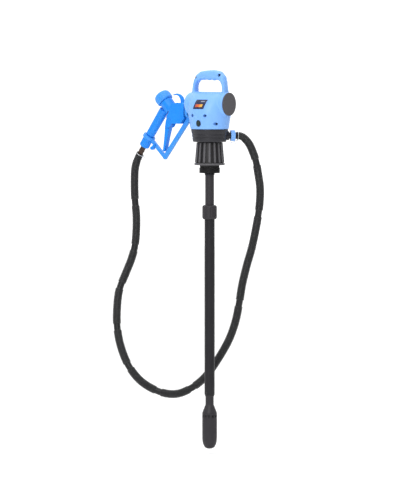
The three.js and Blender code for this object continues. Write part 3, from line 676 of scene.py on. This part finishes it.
def half(obj, name, keep_front):
    bm = bmesh.new()
    bm.from_mesh(obj.data)
    y = -0.15 * MM if keep_front else 0.15 * MM
    done = bmesh.ops.bisect_plane(
        bm, geom=bm.verts[:] + bm.edges[:] + bm.faces[:], plane_co=(0, y, 0), plane_no=(0, 1, 0),
        clear_outer=keep_front, clear_inner=not keep_front,
    )
    rim = [e for e in done["geom_cut"] if isinstance(e, bmesh.types.BMEdge)]
    bmesh.ops.triangle_fill(bm, edges=rim, use_beauty=True, use_dissolve=False)
    return object_from(name, bm, 42)


head = fuse("head", build_head, 1.2, 4)
cut(head, head_pockets, 42)
cut(head, lambda tool: prism(tool, oval(6.1, 8.1, SWITCH_Z), -60, -47), 42)
front = half(head, "head_front_visual", True)
rear = half(head, "head_rear_visual", False)
bpy.data.objects.remove(head)
settle(front, "pump_head", "blue_plastic", HEAD_BLUE, "head_front_shell")
settle(rear, "pump_head", "blue_plastic", HEAD_BLUE, "head_rear_shell")


def screw_mesh(bm, matrix, length):
    profile = [(0, -length), (0.8, 1.4 - length), (1.6, 2.4 - length), (1.6, -0.3), (3.7, -0.3)]
    profile += [(3.7, 0.7), (3.5, 1.3), (3.0, 1.8), (2.2, 2.1), (0, 2.2)]
    lathe_mesh(bm, profile, 24, matrix)


def cross_tool(bm, matrix):
    """A plus-shaped prism for a screw's cross recess, as one solid that doesn't cross itself."""
    arm, half_arm, bottom, top = 2.0, 0.55, 1.0, 4.0
    quarter = [(arm, -half_arm), (arm, half_arm), (half_arm, half_arm)]
    corners = []
    for _ in range(4):
        corners += quarter
        quarter = [(-y, x) for x, y in quarter]
    low = [bm.verts.new(matrix @ (Vector((x, y, bottom)) * MM)) for x, y in corners]
    high = [bm.verts.new(matrix @ (Vector((x, y, top)) * MM)) for x, y in corners]
    bm.faces.new(list(reversed(low)))
    bm.faces.new(high)
    for i in range(len(corners)):
        j = (i + 1) % len(corners)
        bm.faces.new([low[i], low[j], high[j], high[i]])


def screw(name, origin, out, length, body, node):
    matrix = axis_matrix(origin, out)
    bm = bmesh.new()
    screw_mesh(bm, matrix, length)
    obj = object_from(name, bm)
    cut(obj, lambda tool: cross_tool(tool, matrix), 34)
    # Near-black steel: painted shade in the screw pocket.
    settle(obj, body, "steel", SHADE_DARK_STEEL, node)


for i, (x, z, seat) in enumerate(SHELL_SCREWS):
    screw(f"head_screw_{i + 1}_visual", (x, seat - 0.3, z), (0, -1, 0), 14 if z > 200 else 34,
          "pump_head", f"head_screw_{i + 1}")

# Battery cap: dished disc with a thumb-grip rim.
cap_profile = rounded([
    (0, 42), (28, 42), (28, 66), (33.6, 66), (33.6, 70), (31.6, 70), (31.0, 69.5), (0, 69.4),
], 0.7)
cap = lathe("battery_cap_visual", cap_profile, 128, axis_matrix((0, 0, BATTERY_Z), (1, 0, 0)))
settle(cap, "battery_cap", "grey_plastic", GREY, "battery_cap")


# Switch: an oval bezel and a soft boot.
def build_bezel(bm):
    prism(bm, oval(7.4, 9.4, SWITCH_Z), -58.9, -56.7)


bm = bmesh.new()
build_bezel(bm)
bezel = object_from("switch_bezel_visual", bm)
cut(bezel, lambda tool: prism(tool, oval(5.8, 7.8, SWITCH_Z), -62, -52))
bevelled(bezel, 0.5, 3)
settle(bezel, "pump_head", "black_plastic", BLACK, "switch_bezel")
rings = []
for depth, scale in ((-53, 1.0), (-59.4, 1.0), (-60.3, 0.93), (-60.8, 0.8), (-61.05, 0.55), (-61.1, 0.2)):
    rings.append([
        Vector((x * scale, depth, SWITCH_Z + (z - SWITCH_Z) * scale)) for x, z in oval(5.3, 7.3, SWITCH_Z)
    ])
bm = bmesh.new()
skin(bm, rings)
settle(object_from("switch_rocker_visual", bm), "switch_rocker", "rubber", BOOT, "switch_rocker")


# Label: a film that follows the shell, with plain coloured bands.
def label_material():
    mat, tree, shader = nodes_of("label_bands")
    where = tree.nodes.new("ShaderNodeTexCoord")
    split = tree.nodes.new("ShaderNodeSeparateXYZ")
    tree.links.new(where.outputs["Object"], split.inputs[0])

    def span(socket, low, high):
        node = tree.nodes.new("ShaderNodeMapRange")
        node.inputs["From Min"].default_value = low
        node.inputs["From Max"].default_value = high
        tree.links.new(socket, node.inputs["Value"])
        return node.outputs["Result"]

    slant = tree.nodes.new("ShaderNodeMath")
    slant.operation = "MULTIPLY_ADD"
    slant.inputs[1].default_value = -0.296
    tree.links.new(split.outputs["Z"], slant.inputs[0])
    tree.links.new(split.outputs["X"], slant.inputs[2])
    across = span(slant.outputs[0], -0.0694, -0.0324)
    up = span(split.outputs["Z"], 0.1635, 0.1905)
    navy = (0.012, 0.018, 0.06)
    colours = tree.nodes.new("ShaderNodeValToRGB")
    stops = [(0.0, (0.45, 0.03, 0.03)), (0.45, (0.6, 0.12, 0.03)), (0.7, (0.7, 0.4, 0.06))]
    while len(colours.color_ramp.elements) < len(stops):
        colours.color_ramp.elements.new(0.5)
    for element, (place, colour) in zip(colours.color_ramp.elements, stops):
        element.position = place
        element.color = (*colour, 1)
    tree.links.new(across, colours.inputs["Fac"])

    def window(left, right, low, high):
        sides = ramp(tree, across, [(left, 0.0), (left + 0.03, 1.0), (right - 0.03, 1.0), (right, 0.0)])
        ends = ramp(tree, up, [(low, 0.0), (low + 0.03, 1.0), (high - 0.03, 1.0), (high, 0.0)])
        both = tree.nodes.new("ShaderNodeMath")
        both.operation = "MULTIPLY"
        tree.links.new(sides, both.inputs[0])
        tree.links.new(ends, both.inputs[1])
        return both.outputs[0]

    field = mix(tree, window(0.14, 0.82, 0.2, 0.52), navy, colours.outputs["Color"])
    field = mix(tree, window(0.5, 0.86, 0.74, 0.86), field, (0.3, 0.32, 0.4))
    grime = noise(tree, 120, 4)
    tree.links.new(mix(tree, ramp(tree, grime, [(0.5, 0.0), (0.9, 0.2)]), field, (0.4, 0.4, 0.45)),
                   shader.inputs["Base Color"])
    tree.links.new(ramp(tree, grime, [(0.3, 0.22), (0.7, 0.36)]), shader.inputs["Roughness"])
    return mat


def surface_y(x, z, grow=0.0):
    a, b, n = interpolate(HEAD_SECTIONS, z)
    a, b = a + grow, b + grow
    return -b * (1 - abs(x / a) ** n) ** (1 / n)


def build_label(bm):
    across, up = 36, 26
    (x0, z0), (x1, _), (x2, z2), (x3, _) = LABEL_OUTLINE
    layers = []
    for grow in (0.45, -0.3):
        grid = []
        for j in range(up + 1):
            t = j / up
            z = z0 + (z2 - z0) * t
            left, right = x0 + (x3 - x0) * t, x1 + (x2 - x1) * t
            row = [(left + (right - left) * i / across, z) for i in range(across + 1)]
            grid.append([bm.verts.new(Vector((x, surface_y(x, z, grow), z)) * MM) for x, z in row])
        layers.append(grid)
        for j in range(up):
            for i in range(across):
                bm.faces.new([grid[j][i], grid[j][i + 1], grid[j + 1][i + 1], grid[j + 1][i]])
    outer, inner = layers
    rim = [(0, i) for i in range(across)] + [(j, across) for j in range(up)]
    rim += [(up, i) for i in range(across, 0, -1)] + [(j, 0) for j in range(up, 0, -1)]
    for (j0, i0), (j1, i1) in zip(rim, rim[1:] + rim[:1]):
        bm.faces.new([outer[j0][i0], outer[j1][i1], inner[j1][i1], inner[j0][i0]])


bm = bmesh.new()
build_label(bm)
settle(object_from("label_visual", bm), "pump_head", "label_film", label_material(), "label_plate")


# ---------------------------------------------------------------- outlet housing, nut, barb
housing_profile = rounded([
    (13.2, 30), (26, 30), (26, 67.3), (46.8, 67.3), (48.6, 68.8), (50.0, 79.2), (49.2, 79.9),
    (49.3, 80.9), (50.4, 81.6), (51.3, 88.2), (50.5, 88.9), (50.6, 89.9), (51.7, 90.6), (53.9, 102.6),
    (53.3, 104.4), (49.5, 104.4), (44.5, 71.5), (17, 71.5), (17, 98), (2.5, 98), (2.5, 93), (10, 93),
    (10, 72.5), (13.2, 72.5),
], 0.5, 2)


def outlet_matrix(out):
    return axis_matrix(outlet_point(out), OUT)


def build_housing(bm):
    lathe_mesh(bm, housing_profile, 160, closed=True)


def spigot(bm):
    profile = [(0, 14), (11.5, 14), (12.5, 52), (13.6, 53.2), (13.6, 55.4), (12.8, 56.2), (9, 56.2),
               (9, 61)]
    profile += [(10.5, 61.2)]
    for k in range(4):
        profile += [(10.6, 61.8 + 2 * k), (9.8, 62.6 + 2 * k), (10.6, 63.4 + 2 * k)]
    profile += [(10.0, 69.5), (6, 69.5), (6, 66), (0, 66)]
    lathe_mesh(bm, profile, 64, outlet_matrix(0))


bm = bmesh.new()
build_housing(bm)
housing = object_from("outlet_housing_visual", bm, 38)
settle(housing, "pump_head", "black_plastic", COLLAR_BLACK, "outlet_housing")
bm = bmesh.new()
spigot(bm)
settle(object_from("outlet_spigot_visual", bm), "pump_head", "black_plastic", COLLAR_BLACK)


def ribbed(count, depth, low, high, power=4):
    """Relief of count ribs between heights low and high."""
    def shape(angle, r, z):
        if low < z < high and r > 8:
            wave = 0.5 + 0.5 * math.cos(count * angle)
            return r - depth * (1 - wave) ** power, z
        return r, z
    return shape


def chain(profile, step=1.0):
    """The same profile with long straight runs split, so that relief has points to move."""
    out = [profile[0]]
    for (r0, z0), (r1, z1) in zip(profile, profile[1:]):
        count = max(1, int(math.hypot(r1 - r0, z1 - z0) / step))
        out += [(r0 + (r1 - r0) * i / count, z0 + (z1 - z0) * i / count) for i in range(1, count + 1)]
    return out


nut_profile = rounded([
    (11, 0), (15.4, 0), (16, 0.8), (16, 12.2), (15.2, 13), (8.2, 13), (8.2, 11.2), (11, 11.2),
], 0.5)
nut = lathe("union_nut_visual", chain(nut_profile, 1.2), 144, outlet_matrix(61.5),
            ribbed(18, 0.9, 1.4, 11.4), True, 50)
settle(nut, "outlet_union_nut", "blue_plastic", HEAD_BLUE, "outlet_union_nut")

barb_profile = [
    (5.4, 0), (10.4, 0), (10.4, 2.4), (7.7, 2.6), (7.7, 6.5), (9.2, 7.2), (8.0, 10.2), (9.2, 10.8),
    (7.9, 14.4), (5.4, 14.4),
]
barb = lathe("outlet_barb_visual", barb_profile, 48, outlet_matrix(69.8), None, True)
settle(barb, "pump_head", "black_plastic", BARB, "outlet_barb")

# ---------------------------------------------------------------- bung adaptor and suction tube
RIBS = 16


def adaptor_shape(angle, r, z):
    if 6.4 < z < 66.4 and r > 31:
        phase = (angle * RIBS / (2 * math.pi)) % 1
        edge = abs(phase - 0.5) * 2
        t = min(1, max(0, (0.5 - edge) / 0.16))
        ends = min(1, (z - 6.4) / 1.4, (66.4 - z) / 1.0)
        return r + 3.4 * t * t * (3 - 2 * t) * ends, z
    return r, z


THREAD = []
for k in range(6):
    z = -9.2 - 2.3 * k
    THREAD += [(30.5, z), (30.5, z - 0.5), (29.3, z - 1.15), (29.3, z - 1.6)]
adaptor_outer = rounded([
    (26.4, 66.6), (33.6, 66.6), (34.4, 65.6), (39.5, 6.6), (43.9, 5.4), (44.5, 4.4), (44.5, 1.8), (43, 0),
    (31.5, 0), (31.5, 0.8), (24.5, 0.8), (24.5, -7.5), (29.2, -7.5), (30.5, -8.6),
], 0.7, 3)
adaptor_profile = adaptor_outer + THREAD + [(30.0, -22.6), (29, -23), (13.3, -23), (13.3, 29.6),
                                            (26.4, 29.6)]
adaptor = lathe("bung_adaptor_visual", chain(adaptor_profile, 1.6), 256, UP, adaptor_shape, True, 40)
settle(adaptor, "bung_adaptor", "black_plastic", adaptor_material(), "bung_adaptor")
seal = rounded([(24.9, -0.4), (28.2, -0.4), (28.2, -7.1), (24.9, -7.1)], 0.9)
settle(lathe("bung_seal_visual", seal, 96, closed=True), "bung_adaptor", "rubber", RUBBER, "bung_seal")
ring = rounded([(13.2, -23.7), (14.4, -23.7), (14.4, -28.6), (13.2, -28.6)], 0.4)
# Near-black steel: painted shade under the thread.
settle(lathe("retaining_ring_visual", ring, 96, closed=True), "pump_head", "steel", SHADE_DARK_STEEL,
       "tube_retaining_ring")

tube_profile = rounded([(11.3, 72.2), (12.9, 72.2), (12.9, -480), (11.3, -480)], 0.5)
settle(lathe("upper_tube_visual", chain(tube_profile, 30), 96, closed=True), "pump_head", "black_plastic",
       BLACK, "upper_tube")


def nut_shape(angle, r, z):
    if -152.5 < z < -120.5 and r > 20:
        flat = abs(((angle * 8 / (2 * math.pi)) % 1) - 0.5) * 2
        t = min(1, max(0, (flat - 0.78) / 0.14))
        ends = min(1, (z + 152.5) / 2, (-120.5 - z) / 2)
        return r - 0.9 * t * t * (3 - 2 * t) * ends, z
    return r, z


lock_profile = rounded([
    (13.2, -116), (17.2, -116), (20.6, -119.2), (21.2, -121), (21.2, -151.5), (20.5, -154), (18.6, -157),
    (15.1, -157), (15.1, -125), (17.2, -125), (17.2, -121), (13.2, -121),
], 0.8)
settle(lathe("lock_nut_visual", chain(lock_profile, 1.5), 192, UP, nut_shape, True, 40),
       "lock_nut", "black_plastic", BLACK, "lock_nut")
lower_profile = rounded([
    (13.2, -125.5), (14.8, -125.5), (14.8, -213.8), (14.6, -214.1), (14.6, -214.9), (14.8, -215.2),
    (14.8, -667), (13.2, -667),
], 0.4)
settle(lathe("lower_tube_visual", chain(lower_profile, 30), 96, closed=True), "lower_tube", "black_plastic",
       TUBE_BLACK, "lower_tube")

# ---------------------------------------------------------------- foot
casing_profile = rounded([
    (9, -650), (12.9, -650), (12.9, -667.3), (13.4, -667.6), (13.4, -670.5), (12, -671.6), (12, -696),
    (14.2, -700.5), (20.7, -717.5), (21.5, -720.4), (21.5, -726), (18.8, -726), (18.8, -721), (11, -703),
    (9, -697),
], 1.2)
settle(lathe("pump_casing_visual", chain(casing_profile, 4), 128, closed=True), "lower_tube",
       "black_plastic", BLACK, "pump_casing")


def cup_shape(angle, r, z):
    if -800 < z < -738 and r > 19:
        ends = min(1, (z + 800) / 6, (-738 - z) / 3)
        return r - 0.42 * (0.5 - 0.5 * math.cos(48 * angle)) * ends, z
    return r, z


cup_profile = rounded([
    (0, -824), (8, -823), (14.5, -819), (19, -810), (21, -801), (21.5, -793), (21.5, -726.3),
    (18.8, -726.3),
    (18.8, -737), (17.2, -737), (17.2, -800), (0, -800),
], 1.0)
cup = lathe("motor_cup_visual", chain(cup_profile, 2.6), 240, UP, cup_shape, False, 50)


def intake_slots(bm):
    for k in range(12):
        turn = Matrix.Rotation(math.pi * 2 * k / 12, 4, "Z")
        low = len(bm.verts)
        prism(bm, [(16, -732.4), (30, -732.4), (30, -720), (16, -720)], -2.7, 2.7)
        bm.verts.ensure_lookup_table()
        bmesh.ops.transform(bm, matrix=turn, verts=bm.verts[low:])


cut(cup, intake_slots, 45)
# A dark sheet inside the cup behind the intake slots: painted shade, so the slots read dark instead of
# showing through.
slot_shade_sheet = [(17.9, -736.4), (18.5, -736.4), (18.5, -721), (17.9, -721)]
settle(lathe("intake_slot_shade_visual", slot_shade_sheet, 64, closed=True), "lower_tube", "black_plastic", RUBBER)
settle(cup, "lower_tube", "black_plastic", BLACK, "motor_cup")


# ---------------------------------------------------------------- nozzle
def plane(x, z, y=0.0):
    return Vector((x, NOZZLE_Y + y, z))


CAP_CENTRE = plane(-209, 193)
BARREL_AXIS = (plane(-209, 193) - plane(-182, 162)).normalized()


def on_barrel(s):
    return CAP_CENTRE + BARREL_AXIS * s


BLOCK = [
    (-170, 116.3), (-137, 116.3), (-128.8, 127.2), (-125.3, 131.5), (-125.3, 173.8), (-129, 177.3),
    (-165, 177.3), (-177.8, 164), (-177.8, 150), (-184.8, 139), (-187.3, 132.6), (-172, 132.6),
    (-170, 130),
]
HOOK = [
    (-133.5, 173), (-135, 186), (-139, 195), (-146, 201.3), (-158, 204.8), (-170.2, 201.4),
    (-170.8, 199.6), (-169.4, 198.6), (-158, 200.2), (-150, 196), (-145, 188), (-142.5, 173),
]
PIVOT = (-182, 116)
EAR = [
    (-187.4, 134), (-190.8, 124), (-192.2, 114), (-189.8, 106.2), (-184, 103.7), (-178, 105.2),
    (-174.2, 110), (-171.5, 116), (-168, 118), (-164, 134),
]


def cone_mesh(bm, r0, r1, start, end, sides=48):
    length = (end - start).length
    lathe_mesh(bm, [(0, 0), (r0, 0), (r1, length), (0, length)], sides, axis_matrix(start, end - start))


def build_nozzle(bm):
    prism(bm, BLOCK, NOZZLE_Y - 17, NOZZLE_Y + 17)
    prism(bm, HOOK, NOZZLE_Y - 5, NOZZLE_Y + 5)
    prism(bm, EAR, NOZZLE_Y - 13.4, NOZZLE_Y - 9.7)
    prism(bm, EAR, NOZZLE_Y + 9.7, NOZZLE_Y + 13.4)
    cone_mesh(bm, 13.2, 14.4, on_grip(0), plane(-203.6, 156))
    cone_mesh(bm, 20, 19, on_barrel(-16.4), on_barrel(-50))
    cone_mesh(bm, 8.6, 8.6, on_grip(-24), on_grip(2))


nozzle = fuse("nozzle_body_visual", build_nozzle, 0.95, 4)


def nozzle_bores(bm):
    cone_mesh(bm, 12.4, 12.4, plane(-150.3, 150), plane(-100, 150))
    cone_mesh(bm, 2.7, 2.7, plane(*PIVOT, -12.6), plane(*PIVOT, 12.6), 24)
    cone_mesh(bm, 5.5, 5.5, on_grip(-30), on_grip(-2), 24)


cut(nozzle, nozzle_bores, 44)
settle(nozzle, "nozzle", "blue_plastic", BLUE, "nozzle_body")

cap_shape_profile = rounded([
    (12.4, -16), (23.4, -16), (25, -12.6), (25, 1.5), (22.2, 8.8), (17, 12.7), (0, 13),
], 2.2)
valve_cap = lathe(
    "valve_cap_visual", chain([(12.4, 5)] + cap_shape_profile, 1.3), 192,
    axis_matrix(CAP_CENTRE, BARREL_AXIS),
    ribbed(24, 0.7, -12, 3, 3), False, 50,
)
settle(valve_cap, "nozzle", "pale_blue_plastic", PALE_BLUE, "valve_cap")

TRIGGER = [
    (-190.5, 126), (-194.7, 118), (-196.5, 104), (-197.3, 90), (-199.4, 70), (-202.5, 46), (-203.6, 37.4),
    (-202, 34.9), (-199.5, 34.7), (-197.1, 38), (-193, 57), (-187, 82), (-181, 103), (-176.5, 114),
    (-175.2, 122), (-176.1, 126.8), (-179, 129.2), (-186, 129.2),
]


def build_trigger(bm):
    prism(bm, TRIGGER, NOZZLE_Y - 9, NOZZLE_Y + 9)


trigger = fuse("trigger_visual", build_trigger, 0.7, 4)



def trigger_hollow(bm):
    cone_mesh(bm, 2.7, 2.7, plane(*PIVOT, -20), plane(*PIVOT, 20), 24)


cut(trigger, trigger_hollow)
settle(trigger, "trigger", "blue_plastic", BLUE, "trigger")

pin = rounded([(0, -12.3), (2.4, -12.3), (2.4, 12.3), (0, 12.3)], 0.6)
settle(lathe("trigger_pin_visual", pin, 32, axis_matrix(plane(*PIVOT), (0, 1, 0))), "nozzle", "steel",
       STEEL, "trigger_pin")

GUARD = [
    (-259, 71), (-208, 18), (-203.5, 11.7), (-197.5, 11), (-192.7, 18), (-118, 117.5), (-113.8, 124),
    (-113.8, 140), (-122.4, 140), (-122.4, 131.2), (-127.3, 126.2), (-202, 26.7), (-247.5, 74),
]


def build_guard(bm):
    prism(bm, GUARD, NOZZLE_Y - 5, NOZZLE_Y + 5)
    cone_mesh(bm, 18.8, 18.8, on_grip(-11), on_grip(-2.4), 64)
    cone_mesh(bm, 16.4, 16.4, plane(-122.4, 150), plane(-113.8, 150), 64)


def guard_bores(bm):
    cone_mesh(bm, 15.7, 15.7, on_grip(-40), on_grip(0), 64)
    cone_mesh(bm, 12.6, 12.6, plane(-126, 150), plane(-110, 150), 64)
    cone_mesh(bm, 2.4, 2.4, plane(-233, 52.6, -9), plane(-233, 52.6, 9), 24)


guard = fuse("trigger_guard_visual", build_guard, 0.8, 4)
cut(guard, guard_bores)
settle(guard, "nozzle", "pale_blue_plastic", PALE_BLUE, "trigger_guard")


def build_latch(bm):
    prism(bm, [(-230.2, 53.8), (-233.6, 49.2), (-241.4, 40.2), (-247, 46.2), (-235.6, 56.4)],
          NOZZLE_Y - 8.6, NOZZLE_Y - 5.5)
    cone_mesh(bm, 5, 5, plane(-244, 43.5, -8.6), plane(-244, 43.5, 5), 40)
    cone_mesh(bm, 2, 2, plane(-233, 52.6, -8), plane(-233, 52.6, 6), 24)


settle(fuse("hold_open_latch_visual", build_latch, 0.45, 3), "hold_open_latch", "blue_plastic", BLUE,
       "hold_open_latch")

swivel_profile = rounded([
    (8.1, 0), (13.2, 0), (15, 2.2), (15, 27.8), (15.3, 28.6), (15.3, 37), (14, 38.8), (9.1, 38.8),
    (9.1, 8), (8.1, 8),
], 0.7)
swivel = lathe("swivel_nut_visual", chain(swivel_profile, 1.3), 144, axis_matrix(on_grip(-40), GRIP_AXIS),
               ribbed(14, 0.9, 3, 26), True, 50)
settle(swivel, "swivel_nut", "blue_plastic", BLUE, "swivel_nut")

stem = [
    (5.5, -66), (7.2, -66), (8.6, -61.5), (7.6, -61), (7.6, -58.5), (8.8, -54), (7.8, -53.4),
    (7.8, -28.2), (8.7, -28.2), (8.7, -25), (5.5, -25),
]
settle(lathe("nozzle_barb_visual", stem, 48, axis_matrix(GRIP_LOW, GRIP_AXIS), None, True), "nozzle",
       "black_plastic", BARB, "nozzle_barb")


def make_spout():
    points = [plane(-150, 150), plane(-125, 150), plane(-100, 150), plane(-82, 148.5), plane(-67, 142),
              plane(-57.5, 131), plane(-54, 117), plane(-54, 100), plane(-54, 60), plane(-54, 16)]
    path, _ = smooth_path(points, 2.2)
    outer = tube_rings(path, lambda k, _: 12 - (0.8 if k > len(path) - 3 else 0), 48)
    inner = tube_rings(path, 9.5, 48)
    bm = bmesh.new()
    skin(bm, outer + list(reversed(inner)) + outer[:1], cap=False)
    return object_from("nozzle_spout_visual", bm, 40)


settle(make_spout(), "nozzle", "black_plastic", BLACK, "nozzle_spout")

# ---------------------------------------------------------------- CAD nodes that keep their own shape
KEPT = {
    "nozzle_holder": BLACK, "battery_tube": BLACK, "switch_body": BLACK, "battery_cap_seal": RUBBER,
    "tube_seal": RUBBER, "motor_seal_plate": RUBBER, "motor_lead": RUBBER, "pump_motor": STEEL,
    "valve_spring": STEEL,
    "battery_contact_plate": BRASS, "battery_cap_contact": BRASS, "impeller": BRASS, "valve_poppet": BRASS,
    "control_board": BOARD,
}
for k in range(6):
    KEPT[f"battery_cell_{k + 1}"] = CELL
for name, finish in KEPT.items():
    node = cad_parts[name]
    node.data.materials.clear()
    node.data.materials.append(finish)
for k, side in enumerate((-14, 14)):
    out = Vector((-54, 66, 0)).normalized()
    across = Vector((out.y, -out.x, 0))
    screw(f"holder_screw_{k + 1}_visual", out * 63.3 + across * side + Vector((0, 0, 116)), out, 18,
          "pump_head", f"holder_screw_{k + 1}")


# ---------------------------------------------------------------- floor and light
# Just under the foot at rest, so the tube passes through it when it is drawn out.
FLOOR_Z = -0.84


def floor():
    bm = bmesh.new()
    bmesh.ops.create_circle(bm, cap_ends=True, segments=96, radius=14)
    obj = object_from("floor", bm)
    obj.location.z = FLOOR_Z
    mat, tree, shader = nodes_of("floor_paint")
    drift = noise(tree, 0.6, 3)
    tree.links.new(mix(tree, drift, (0.9, 0.9, 0.9), (0.93, 0.93, 0.93)), shader.inputs["Base Color"])
    shader.inputs["Roughness"].default_value = 0.9
    shader.inputs["Specular IOR Level"].default_value = 0.1
    obj.data.materials.append(mat)


def area(name, place, aim, size, power, colour=(1, 1, 1)):
    data = bpy.data.lights.new(name, "AREA")
    data.shape = "RECTANGLE"
    data.size, data.size_y = size
    data.energy = power
    data.color = colour
    obj = bpy.data.objects.new(name, data)
    obj.location = place
    obj.rotation_mode = "QUATERNION"
    obj.rotation_quaternion = (Vector(aim) - Vector(place)).to_track_quat("-Z", "Y")
    bpy.context.collection.objects.link(obj)


def lights():
    world = bpy.data.worlds.new("studio")
    bpy.context.scene.world = world
    world.use_nodes = True
    background = world.node_tree.nodes["Background"]
    background.inputs["Color"].default_value = (1, 1, 1, 1)
    tree = world.node_tree
    where = tree.nodes.new("ShaderNodeTexCoord")

    def toward(direction, low, high, dim, bright):
        dot = tree.nodes.new("ShaderNodeVectorMath")
        dot.operation = "DOT_PRODUCT"
        dot.inputs[1].default_value = direction
        tree.links.new(where.outputs["Generated"], dot.inputs[0])
        span = tree.nodes.new("ShaderNodeMapRange")
        span.interpolation_type = "SMOOTHSTEP"
        for key, value in (("From Min", low), ("From Max", high), ("To Min", dim), ("To Max", bright)):
            span.inputs[key].default_value = value
        tree.links.new(dot.outputs["Value"], span.inputs["Value"])
        return span.outputs["Result"]

    total = tree.nodes.new("ShaderNodeMath")
    total.operation = "ADD"
    tree.links.new(toward((-0.559, 0.829, 0), 0.0, 0.85, 0.22, 1.3), total.inputs[0])
    tree.links.new(toward((0, 0, 1), 0.2, 0.95, 0.0, 1.1), total.inputs[1])
    tree.links.new(total.outputs[0], background.inputs["Strength"])
    area("key", (0.9, -2.6, 1.2), (0, 0, 0), (0.7, 1.8), 44)
    area("left", (-2.7, -1.0, 0.5), (0, 0, -0.2), (0.5, 2.2), 5)
    area("top", (0.2, -0.4, 2.4), (0, 0, 0), (1.2, 1.2), 14)


floor()
lights()
bpy.context.scene.view_settings.view_transform = "Standard"
